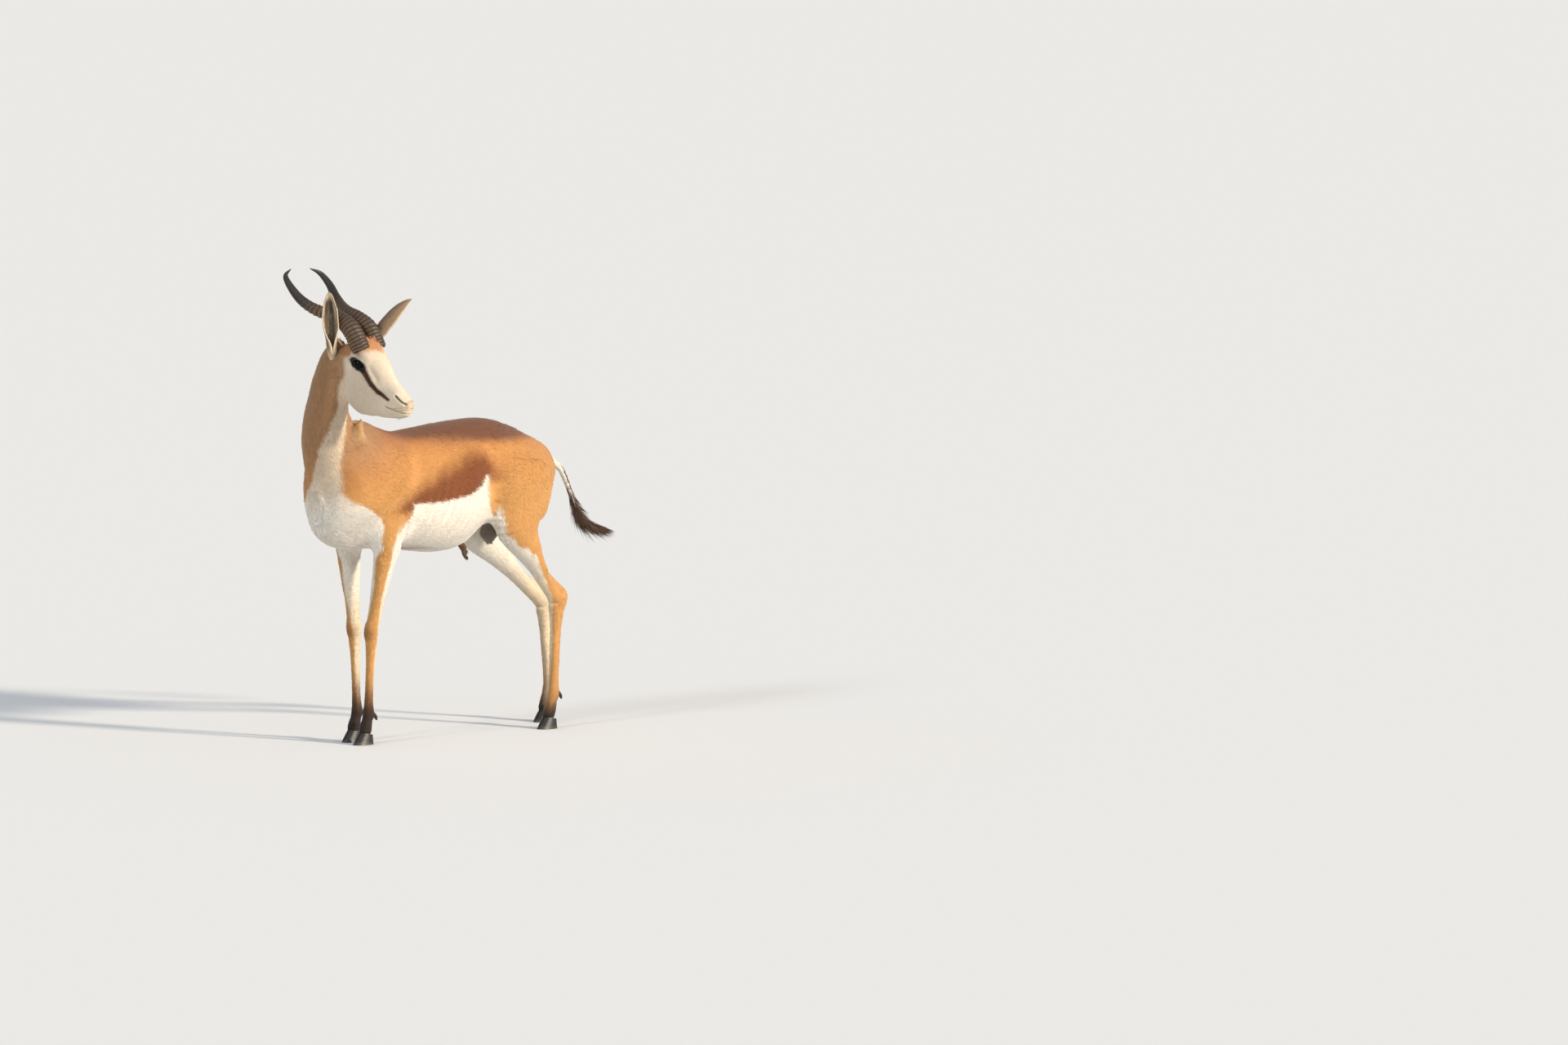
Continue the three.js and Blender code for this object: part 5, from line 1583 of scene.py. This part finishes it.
def dewclaw(name, fetlock, way):
    """A small blunt claw behind the fetlock: a tapering tube bent down"""
    path = [np.array(fetlock) + [x, way * y, z] for x, y, z in DEWCLAW]
    points, faces = tube(sweep(round_path(path, DEWCLAW_RADII), 6), 16)
    thing = make_mesh(name, points, faces)
    give_colours(thing, np.tile(tone(38, 32, 29), (len(points), 1)))
    dress(thing, HOOF, "hoof")


for leg, joints in JOINTS.items():
    for side_name, way in SIDES.items():
        dewclaw(f"{leg}_dewclaw_{side_name}", joints[3], way)

# %% Tail
TAIL_PATH = [[-614, 0, 692], [-656, 0, 680], [-694, 0, 653], [-725, 0, 597], [-746, 4, 532], [-768, 10, 505]]
TAIL_RADII = [10, 8.5, 6.5, 5, 4.2, 2.5]
TAIL = sweep(round_path(TAIL_PATH, TAIL_RADII), 16)


def tail_core():
    """The dock of the tail, a round tube; the hair that hides it comes later."""
    points, faces = tube(TAIL, 24)
    thing = make_mesh("tail_core", points, faces)
    share = np.repeat(np.linspace(0, 1, len(TAIL["run"])), 24)
    colour = mix(WHITE, STRIPE, ramp(share, 0.35, 0.6))
    give_colours(thing, np.concatenate([colour, colour[[0, -1]]]))
    dress(thing, SKIN, "tail", "tail")


tail_core()

# %% [markdown]
# ## The coat
#
# A springbok's coat is short and sleek. It is made of small tufts: each is a closed wedge of four
# triangles, sunk in the skin at its root and drawn out to a point. A single one is plain, but a
# quarter of a million of them, laid like tiles along the lie of the hair, break up every outline
# and carry the markings to soft, hairy edges. Hair curves would be dropped by an export, and a
# bump alone would leave the outline bare.

# %% The lie of the hair
TRUNK_LIE = np.array([-1.0, 0, -0.30])
HEAD_LIE = np.array([-1.0, 0, -0.22])
BLEND_REACH = 0.018


def lie_of_hair(points, normal):
    """The way hair lies: backwards on the trunk, down the neck, back along the face, down the legs.
    Near a joint the ways of both parts are mixed, each weighted by exp(-distance / reach). The mix
    is laid flat on the skin and turned a little by slow waves, because no coat lies dead straight."""
    total = np.zeros_like(points)
    for name in ("trunk", "neck", "head", *JOINTS):
        part = PARTS[name]
        gap = near_shell(name, points, 0.09)
        close = gap < 0.09
        if name == "trunk":
            way = np.tile(TRUNK_LIE, (close.sum(), 1))
        elif name == "head":
            way = np.tile(HEAD_LIE, (close.sum(), 1)) @ HEAD_AXES.T
        else:
            row = np.clip(nearest_row(part, points[close]).astype(int), 0, len(part["run"]) - 1)
            way = part["along"][row] * (-1 if name == "neck" else 1)
        total[close] += unit(way) * np.exp(-np.maximum(gap[close], 0) / BLEND_REACH)[:, None]
    flat = square(total, normal)
    turn = 0.16 * wave(points, 0.12, 21) + 0.10 * wave(points, 0.03, 22)
    return unit(flat + turn[:, None] * np.cross(normal, flat))


# Where tufts grow: tufts for each square metre, length and width in millimetres, lift in degrees
REGIONS = {
    "trunk": (176e3, 14, 2.0, 5), "neck": (250e3, 14, 1.8, 6), "head": (800e3, 4.8, 0.8, 7),
    "left_front": (250e3, 9, 1.3, 5), "right_front": (250e3, 9, 1.3, 5),
    "left_hind": (230e3, 10, 1.5, 5), "right_hind": (230e3, 10, 1.5, 5),
}
REGION_NAMES = list(REGIONS)
# Rectangles of the regions on the map for baking: left, bottom, width, height
BAKE_ROOMS = {
    "trunk": (0.02, 0.02, 0.60, 0.46), "neck": (0.66, 0.02, 0.32, 0.30), "head": (0.66, 0.36, 0.32, 0.28),
    "left_front": (0.02, 0.52, 0.29, 0.20), "right_front": (0.33, 0.52, 0.29, 0.20),
    "left_hind": (0.02, 0.76, 0.29, 0.20), "right_hind": (0.33, 0.76, 0.29, 0.20),
}
OTHER_ROOM = (0.68, 0.70, 0.28, 0.26)
PATCH = 0.0015


def region_of(points):
    """The body each point is nearest to, as a number in the list of regions"""
    gaps = np.stack([near_shell(name, points, 0.09) for name in REGION_NAMES], 1)
    gaps[:, REGION_NAMES.index("head")] -= 0.004
    return gaps.argmin(1)


def bake_place(points, region):
    """Places on the bake map: each body's surface unrolled into its rectangle, the row along it to the
    right and the angle round it upwards, with the seam on the keel."""
    place = np.zeros((len(points), 2))
    for number, name in enumerate(REGION_NAMES):
        here = region == number
        if not here.any():
            continue
        row, y, z, *_ = on_sweep(PARTS[name], points[here])
        left, bottom, wide, high = BAKE_ROOMS[name]
        turn = np.arctan2(y, z) / (2 * np.pi) + 0.5
        place[here] = np.stack([left + wide * row / (len(PARTS[name]["run"]) - 1), bottom + high * turn], 1)
    return place


# %% Scattering roots over the skin
rng = np.random.default_rng(11)


def areas(points, faces):
    """Area of each triangle"""
    a, b, c = (points[faces[:, i]] for i in range(3))
    return np.linalg.norm(np.cross(b - a, c - a), axis=1) / 2


def scatter(points, faces, density):
    """Random roots on triangles: on average area times density, at even random places inside each.
    Returns the triangle and the three corner weights of each root."""
    wanted = areas(points, faces) * density
    count = (wanted + rng.random(len(wanted))).astype(int)
    which = np.repeat(np.arange(len(faces)), count)
    u, v = rng.random(len(which)), rng.random(len(which))
    over = u + v > 1
    u, v = np.where(over, 1 - u, u), np.where(over, 1 - v, v)
    return which, np.stack([1 - u - v, u, v], 1)


def at_roots(values, faces, which, weights):
    """Values at the skin's points, carried to the roots"""
    return (values[faces[which]] * weights[..., None]).sum(1)


def wedges(root, way, normal, length, width, lift):
    """Tufts of four triangles: two points sunk beside the root, a ridge above them at 45 % of the length
    and the tip. Returns points, faces and, for soft light, normals that lean to the tuft's own sides."""
    side = np.cross(normal, way)
    half = (width / 2)[:, None]
    foot = root - normal * 0.5 * MM
    rise = (length * np.sin(lift))[:, None]
    ridge = root + way * (length * 0.45)[:, None] + normal * (rise * 0.62 + half * 0.35)
    tip = root + way * (length * np.cos(lift))[:, None] + normal * rise
    points = np.stack([foot + side * half, foot - side * half, ridge, tip], 1)
    lean = np.stack([normal + side * 0.4, normal - side * 0.4, normal, normal + way * 0.15], 1)
    first = np.arange(len(root))[:, None, None] * 4
    faces = first + np.array([[0, 1, 2], [0, 2, 3], [2, 1, 3], [0, 3, 1]])
    return points.reshape(-1, 3), faces.reshape(-1, 3), unit(lean).reshape(-1, 3)


def locks(root, way, normal, length, width, lift, sag):
    """Longer tufts: a three-sided blade with a bend. At share t of its length the middle line is
    root + way * l * t + normal * l * (sin(lift) * t - sag * t^2), and the width tapers to a point."""
    share = np.array([0, 0.35, 0.7])
    full = np.array([0.8, 1.0, 0.62])
    side = unit(np.cross(normal, way))
    l = length[:, None]
    rows = []
    for t, f in zip(share, full):
        rise = normal * l * (np.sin(lift)[:, None] * t - sag * t * t)
        middle = root + way * l * t + rise - normal * 0.6 * MM * (t == 0)
        half = (width / 2 * f)[:, None]
        rows += [middle + side * half, middle - side * half, middle + normal * half * 0.7]
    rows.append(root + way * l + normal * l * (np.sin(lift)[:, None] - sag))
    points = np.stack(rows, 1)
    lean = np.stack([normal + side * 0.5, normal - side * 0.5, normal] * 3 + [normal + way * 0.2], 1)
    ring = [[0, 1, 2]]
    for k in (0, 3):
        ring += [[k, k + 2, k + 3], [k + 3, k + 2, k + 5], [k + 2, k + 1, k + 5], [k + 5, k + 1, k + 4],
                 [k + 1, k, k + 4], [k + 4, k, k + 3]]
    ring += [[6, 8, 9], [8, 7, 9], [7, 6, 9]]
    faces = np.arange(len(root))[:, None, None] * 10 + np.array(ring)
    return points.reshape(-1, 3), faces.reshape(-1, 3), unit(lean).reshape(-1, 3)


def coat_piece(name, slot, tufts, colour, place):
    """A coat piece: the tufts as one mesh, with colours darker at the root and lighter at the tip, which
    is a tuft's last point, soft normals, and the map for baking with a small patch for each tuft."""
    points, faces, lean = tufts
    per_tuft = len(points) // len(colour)
    thing = make_mesh(name, points, faces)
    shade = np.full(per_tuft, 0.94)
    shade[-1] = 1.05
    tint = (colour[:, None] * shade[:, None]).reshape(-1, 3)
    give_colours(thing, np.clip(tint, 0, 1))
    spot = rng.uniform(-PATCH, PATCH, (per_tuft, 2))
    spot[:4] = [[-PATCH, -PATCH], [PATCH, -PATCH], [0, PATCH], [0, 0]]
    flat = (place[:, None] + spot).reshape(-1, 2)
    layer = thing.data.uv_layers.new(name="OFBake")
    layer.data.foreach_set("uv", flat[faces.ravel()].astype(np.float32).ravel())
    thing.data.normals_split_custom_set_from_vertices(lean.astype(np.float32))
    dress(thing, HAIR, slot)
    print(name, len(colour), "tufts", len(faces), "triangles")


# %% Short coat
def coat_density(points, region):
    """Tufts for each square metre, by region; none inside the eyes, nostrils and the slit of the mouth"""
    density = np.array([REGIONS[name][0] for name in REGION_NAMES])[region]
    local = to_head(points)
    bare = nostrils(local) > 0.002
    f, l, u = local.T
    lips = (np.abs(u - mouth_height(f)) < 0.0022) & (f > 0.09) & (points[:, 2] > 0.84)
    nose = (f > 0.157) & (np.abs(u + 0.078) < 0.008) & (np.abs(l) < 0.007)
    for side in SIDES.values():
        edge, _, _, ahead = almond(local, side)
        bare |= (edge < 1.22) & (ahead > 0) & (eye_gap(local, side) < 0.03)
    for name, side in SIDES.items():
        on_horn = local - mirrored(HORN_ROOT, side) * MM
        bare |= (np.linalg.norm(on_horn, axis=1) < 0.0215) & (on_horn @ mirrored(HORN_WAY, side) > -0.1)
        root = mirrored(EAR_ROOTS[name], side) * MM
        beyond = (local - root) @ mirrored(EAR_WAYS[name], side)
        bare |= (beyond > 0.002) & (np.linalg.norm(local - root, axis=1) < 0.03)
    bare |= lips | nose
    bare |= points[:, 2] < 0.024
    return np.where(bare, 0, density)


def tuft_sizes(points, region):
    """Length, width and lift of the tufts: by region, longer on the croup and brisket, shorter on the
    muzzle and towards the feet"""
    table = np.array([REGIONS[name][1:] for name in REGION_NAMES])[region]
    length, width, lift = table.T
    local = to_head(points)
    x, y, z = points.T
    length = length * (1 - 0.35 * ramp(local[:, 0], 0.03, 0.13) * (z > 0.84))
    croup = ramp(z, 0.74, 0.78) * ramp(-x, 0.10, 0.30)
    length = length * (1 + 0.5 * croup)
    lift = lift + 6 * croup
    low = 1 - 0.35 * (1 - ramp(z, 0.05, 0.35)) * (z < 0.5)
    size = rng.normal(1, 0.13, len(points)).clip(0.6, 1.5)
    spread = rng.normal(0, 2.5, len(points))
    return length * low * size * MM, width * np.sqrt(size) * MM, np.radians(np.clip(lift + spread, 2, 30))


skin_normals = normals(skin_points, skin_faces)
skin_lie = lie_of_hair(skin_points, skin_normals)
middles = skin_points[skin_faces].mean(1)
which, weights = scatter(skin_points, skin_faces, coat_density(middles, region_of(middles)))
root = at_roots(skin_points, skin_faces, which, weights)
normal = unit(at_roots(skin_normals, skin_faces, which, weights))
way = at_roots(skin_lie, skin_faces, which, weights)
way = square(way, normal)
way = unit(way + rng.normal(0, 0.13, (len(way), 1)) * np.cross(normal, way))
region = region_of(root)
length, width, lift = tuft_sizes(root, region)
tuft_colour = coat_colour(root + way * rng.uniform(-0.5, 0.1, (len(root), 1)) * length[:, None])
tuft_colour = tuft_colour * rng.normal(1, 0.045, (len(root), 1))
bake = bake_place(root, region)
print("roots", len(root), dict(zip(REGION_NAMES, np.bincount(region, minlength=len(REGION_NAMES)))))

# %% Short coat pieces
MOST_TUFTS = 48000


def short_coat(name, slot, chosen):
    """One or more pieces of short coat from the chosen roots, each small enough to export"""
    numbers = np.flatnonzero(chosen)
    numbers = numbers[np.argsort(root[numbers, 0], kind="stable")]
    pieces = int(np.ceil(len(numbers) / MOST_TUFTS))
    for i, part in enumerate(np.array_split(numbers, pieces)):
        tufts = wedges(root[part], way[part], normal[part], length[part], width[part], lift[part])
        label = name if pieces == 1 else f"{name}_{i + 1}"
        coat_piece(label, slot, tufts, tuft_colour[part], bake[part])


on = {name: region == number for number, name in enumerate(REGION_NAMES)}
short_coat("coat_left_side", "coat", on["trunk"] & (root[:, 1] > 0))
short_coat("coat_right_side", "coat", on["trunk"] & (root[:, 1] <= 0))
short_coat("coat_neck", "coat", on["neck"])
short_coat("coat_face", "face", on["head"])
short_coat("coat_front_legs", "coat", on["left_front"] | on["right_front"])
short_coat("coat_hind_legs", "coat", on["left_hind"] | on["right_hind"])

# %% [markdown]
# ## Longer hair
#
# In places the hair is longer and stands off the outline: along the back where the light catches
# it, on the brisket, round the roots of horns and ears, at the point of the neck fold, behind the
# thighs, at the sheath and above the hooves. These are locks, blades with a bend, that grow from
# random triangles of the skin inside a round patch. A few stiff whiskers stand on the muzzle.

# %% Locks of longer hair
# Middle of a patch in millimetres, its radius, how many locks, their length and width, their lift in
# degrees, and how much upwards is added to the lie of the hair
BODY_PATCHES = [
    [[75, 94, 828], 15, 200, 10, 1.1, 2, 1.4],
    [[66, 74, 798], 24, 300, 12, 1.4, 4, 0.7],
    [[96, 0, 530], 60, 900, 17, 1.8, 10, 0],
    [[-12, 0, 492], 60, 500, 16, 1.8, 8, 0],
    [[-596, 0, 640], 62, 700, 16, 1.6, 7, 0],
    [[-622, 0, 694], 28, 320, 22, 1.8, 14, 0],
    [[-364, 0, 456], 18, 260, 22, 1.8, 4, -1.5],
    [[-250, 0, 474], 90, 500, 15, 1.7, 8, 0],
]
HEAD_PATCHES = [
    [[-9, 31, 40], 30, 1100, 11, 1.1, 10, 1.1],
    [[-68, 53, 0], 28, 700, 14, 1.3, 10, 0.9],
    [[-46, 40, 26], 17, 320, 15, 1.3, 16, 0.6],
    [[-30, 36, -104], 34, 420, 10, 1.1, 10, 0],
    [[142, 14, -88], 16, 12, 13, 0.3, 42, 0],
    [[134, 8, -112], 16, 10, 11, 0.3, 42, 0],
]
RIDGE_LOCKS, RIDGE_WIDTH = 4200, 0.015
FOLD_TIP, FOLD_REACH = np.array([78, 103, 843]) * MM, 0.045


def weights_of_patch(middle, radius):
    """How likely each triangle of the skin is chosen: its area, fading from the middle of the patch out"""
    gap = np.linalg.norm(middles - middle, axis=1) / radius
    return skin_areas * np.clip(1.2 - gap, 0, 1) * (gap < 1)


def long_patches():
    """All patches: the weights of the triangles and the rest of the row."""
    rows = [(weights_of_patch(np.array(middle) * MM, radius * MM), *rest)
            for middle, radius, *rest in BODY_PATCHES]
    rows += [(weights_of_patch(from_head(mirrored(middle, side) * MM), radius * MM), *rest)
             for middle, radius, *rest in HEAD_PATCHES for side in SIDES.values()]
    rows += [(weights_of_patch(np.array([*joints[-1][:2], 46]) * MM, 0.026), 260, 12, 1.3, 3, 0)
             for joints in JOINTS.values()]
    x, y, z = middles.T
    ridge = np.exp(-(y / RIDGE_WIDTH) ** 2) * (skin_normals[skin_faces[:, 0], 2] > 0.75)
    ridge = ridge * (x > -0.60) * (x < 0.03)
    return rows + [(skin_areas * ridge * (z > 0.6), RIDGE_LOCKS, 17, 1.5, 15, 0)]


def long_hair():
    """Locks from the patches, as one piece of coat for the body and one for the head"""
    chosen, sizes = [], []
    for weight, count, *size in long_patches():
        chosen.append(rng.choice(len(weight), count, p=weight / weight.sum()))
        sizes.append(np.tile(size, (count, 1)))
    triangle, sizes = np.concatenate(chosen), np.concatenate(sizes)
    share = rng.dirichlet([1, 1, 1], len(triangle))
    start = at_roots(skin_points, skin_faces, triangle, share)
    up = unit(at_roots(skin_normals, skin_faces, triangle, share))
    lie = at_roots(skin_lie, skin_faces, triangle, share)
    along = unit(lie + [0, 0, 1] * sizes[:, 3:] + rng.normal(0, 0.12, lie.shape))
    along = unit(along - (along * up).sum(1, keepdims=True) * up * (1 - np.abs(sizes[:, 3:]) / 2).clip(0, 1))
    upright = square(up, along)
    vary = rng.uniform(0.7, 1.15, len(triangle))
    length = sizes[:, 0] * vary * MM
    to_tip = FOLD_TIP - start
    reach = np.linalg.norm(to_tip, axis=1)
    drawn = (reach < FOLD_REACH) & (reach > 2 * MM)
    along[drawn] = unit(to_tip[drawn])
    upright[drawn] = square(up[drawn], along[drawn])
    length = np.where(drawn, np.minimum(length, reach), length)
    colour = coat_colour(start) * rng.normal(1.02, 0.05, (len(start), 1))
    stiff = sizes[:, 2] > 40
    colour[stiff] = tone(50, 40, 34)
    place = bake_place(start, region_of(start))
    low = start[:, 2] < 0.87
    for name, slot, part in (("long_hair_body", "coat", low), ("long_hair_head", "face", ~low)):
        tufts = locks(start[part], along[part], upright[part], length[part], sizes[part, 1] * MM,
                      np.radians(sizes[part, 2]), 0.04)
        coat_piece(name, slot, tufts, colour[part], place[part])


skin_areas = areas(skin_points, skin_faces)
long_hair()

# %% [markdown]
# ## Hair of the ears and lashes
#
# The backs of the ears carry short fur and the rims a pale fringe. Inside, long pale hairs lie in
# streaks over the dark skin. The upper lid of each eye has a row of short dark lashes.

# %% Fur of the ears
def ear_lie(name, share, turn, depth):
    """Roots on an ear, the way along it and the normal away from its wall, from small steps"""
    here = ear_place(name, share, turn, depth)
    along = unit(ear_place(name, share + 0.01, turn, depth) - here)
    inside = ear_place(name, share, turn * 0.98, depth * 0.5)
    normal = square(here - inside, along)
    return from_head(here), along @ HEAD_AXES.T, normal @ HEAD_AXES.T


def ear_map(name, share, turn):
    """Places of an ear on the map for baking, beside those of the tail"""
    left, bottom, wide, high = OTHER_ROOM
    up = 0.62 + 0.12 * turn + (0.25 if name == "left" else 0)
    return np.stack([left + wide * share, bottom + high * up], 1)


def ear_fur(name):
    """Short tufts over the back and along the rim, and long streaks inside"""
    count = 9000
    share, turn = rng.uniform(0.0, 0.985, count), rng.uniform(-1, 1, count)
    inner = rng.random(count) < 0.35
    turn = np.where(inner, np.sign(turn) * (0.72 + 0.28 * np.abs(turn)), turn)
    start, along, up = ear_lie(name, share, turn, np.where(inner, -1.0, 1.0))
    edge = np.abs(turn)
    tufts = wedges(start, along, up, rng.uniform(5, 8, count) * MM, np.full(count, 1.0 * MM),
                   np.radians(rng.uniform(4, 12, count)))
    # Painted shade: the middle of the ear's back is darkened to a deeper tan, the rims stay cream.
    colour = mix(CREAM, EAR_BACK_AND_SHADE, (1 - ramp(edge, 0.75, 0.98)) * ramp(share, 0.02, 0.2) * 0.85)
    coat_piece(name + "_ear_fur", "coat", tufts, colour * rng.normal(1, 0.05, (count, 1)),
               ear_map(name, share, turn))
    count = 420
    streak = rng.choice([-0.55, -0.2, 0.15, 0.5], count) + rng.normal(0, 0.11, count)
    share = rng.uniform(0.10, 0.60, count)
    start, along, up = ear_lie(name, share, streak, np.full(count, -1.0))
    tufts = locks(start, unit(along + 0.12 * up), up, rng.uniform(9, 20, count) * MM,
                  np.full(count, 0.45 * MM), np.radians(rng.uniform(2, 8, count)), 0.05)
    coat_piece(name + "_ear_streaks", "coat", tufts, CREAM * 0.45 * rng.uniform(0.5, 1, (count, 1)),
               ear_map(name, share, streak))


for name in SIDES:
    ear_fur(name)


# %% Lashes
def lashes(name, side):
    """Thin dark locks along the upper edge of the slit, longest over its middle, bent upwards"""
    count = 90
    angle = np.linspace(0.12, 0.88, count) * np.pi
    flat = np.stack([EYE_HALF_LENGTH * 1.04 * np.cos(angle), EYE_HALF_HEIGHT * 1.1 * np.sin(angle)], 1)
    ahead = np.sqrt((EYE_RADIUS + LID_THICK) ** 2 - (flat**2).sum(1))
    axes = eye_axes(side)
    start = mirrored(EYE_AT, side) + np.column_stack([flat, ahead]) @ axes.T
    out = np.column_stack([flat * 18, ahead * 55]) @ axes.T
    along = unit(unit(out) + rng.normal(0, 0.06, out.shape)) @ HEAD_AXES.T
    up = np.tile(axes[:, 1] @ HEAD_AXES.T, (count, 1))
    up = square(up, along)
    tufts = locks(from_head(start), along, up, (5 + 4 * np.sin(angle)) * MM, np.full(count, 0.55 * MM),
                  np.radians(np.full(count, -6)), -0.25)
    left, bottom, wide, high = OTHER_ROOM
    place = np.stack([left + wide * angle / np.pi, np.full(count, bottom + high * (0.44 + 0.03 * side))], 1)
    coat_piece(name + "_lashes", "face", tufts, np.tile(tone(22, 17, 15), (count, 1)), place)


for name, side in SIDES.items():
    lashes(name, side)

# %% [markdown]
# ## Tail
#
# The tail is thin and white at its root, brown further down, and ends in a brush of long dark
# hair that the wind blows backwards. Its hairs are long locks along the dock.

# %% Tail hair
BRUSH = tone(72, 50, 36)
TUFT_TIP = np.array([-858, 26, 486]) * MM


def tail_hair():
    """Short locks all along the dock, and long ones from its last third that are drawn towards one tip"""
    count = 2600
    share = rng.random(count) ** 0.8
    at = reader(TAIL, share * (len(TAIL["run"]) - 1))
    angle = rng.uniform(0, 2 * np.pi, count)
    out = unit(at("side") * np.cos(angle)[:, None] + at("crown") * np.sin(angle)[:, None])
    start = at("centre") + out * at("wide") * 0.9
    brush = ramp(share, 0.55, 0.72)
    long = (14 + (30 + 52 * ramp(share, 0.6, 1.0)) * brush * rng.uniform(0.7, 1.15, count)) * MM
    back = np.array([-0.75, 0.05, 0.05])
    way = unit(at("along") + back * brush[:, None] * rng.uniform(0.0, 1.1, (count, 1))
               + out * (0.10 + 0.22 * brush[:, None]) + rng.normal(0, 0.05, (count, 3)))
    pull = (brush * ramp(share, 0.7, 1.0) * rng.uniform(0.5, 1, count))[:, None]
    way = unit(way * (1 - pull) + unit(TUFT_TIP - start) * pull)
    reach = np.linalg.norm(TUFT_TIP - start, axis=1)
    long = np.minimum(long, reach * 1.02)
    thick = np.where(brush > 0.3, 1.5, 2.0) * MM
    upright = square(out, way)
    tufts = locks(start, way, upright, long, thick * np.ones(count), np.full(count, 0.05), 0.06)
    upper = (out @ np.array([-0.8, 0, 0.6])) > 0.1
    colour = mix(WHITE, STRIPE, ramp(share, 0.30, 0.42) * upper)
    colour = mix(colour, BRUSH, ramp(share + 0.05 * rng.normal(size=count), 0.50, 0.66))
    colour = colour * rng.normal(1, 0.1, (count, 1))
    left, bottom, wide, high = OTHER_ROOM
    place = np.stack([left + wide * share, bottom + 0.4 * high * angle / (2 * np.pi)], 1)
    coat_piece("tail_hair", "tail", tufts, colour, place)


tail_hair()

# %% [markdown]
# ## Floor
#
# A plain pale floor, wide enough to fill the picture from every side.

# %% The floor
FLOOR_HALF = 60.0
floor_corners = np.array([[-1, -1, 0], [1, -1, 0], [1, 1, 0], [-1, 1, 0]]) * FLOOR_HALF
floor = make_mesh("floor", floor_corners - HOME * [0, 0, 1], [[0, 1, 2, 3]], smooth=False)
paint = bpy.data.materials.new("Studio floor")
paint.use_nodes = True
paint.node_tree.nodes["Principled BSDF"].inputs["Base Color"].default_value = (0.80, 0.79, 0.77, 1)
paint.node_tree.nodes["Principled BSDF"].inputs["Roughness"].default_value = 0.9
floor.data.materials.append(paint)
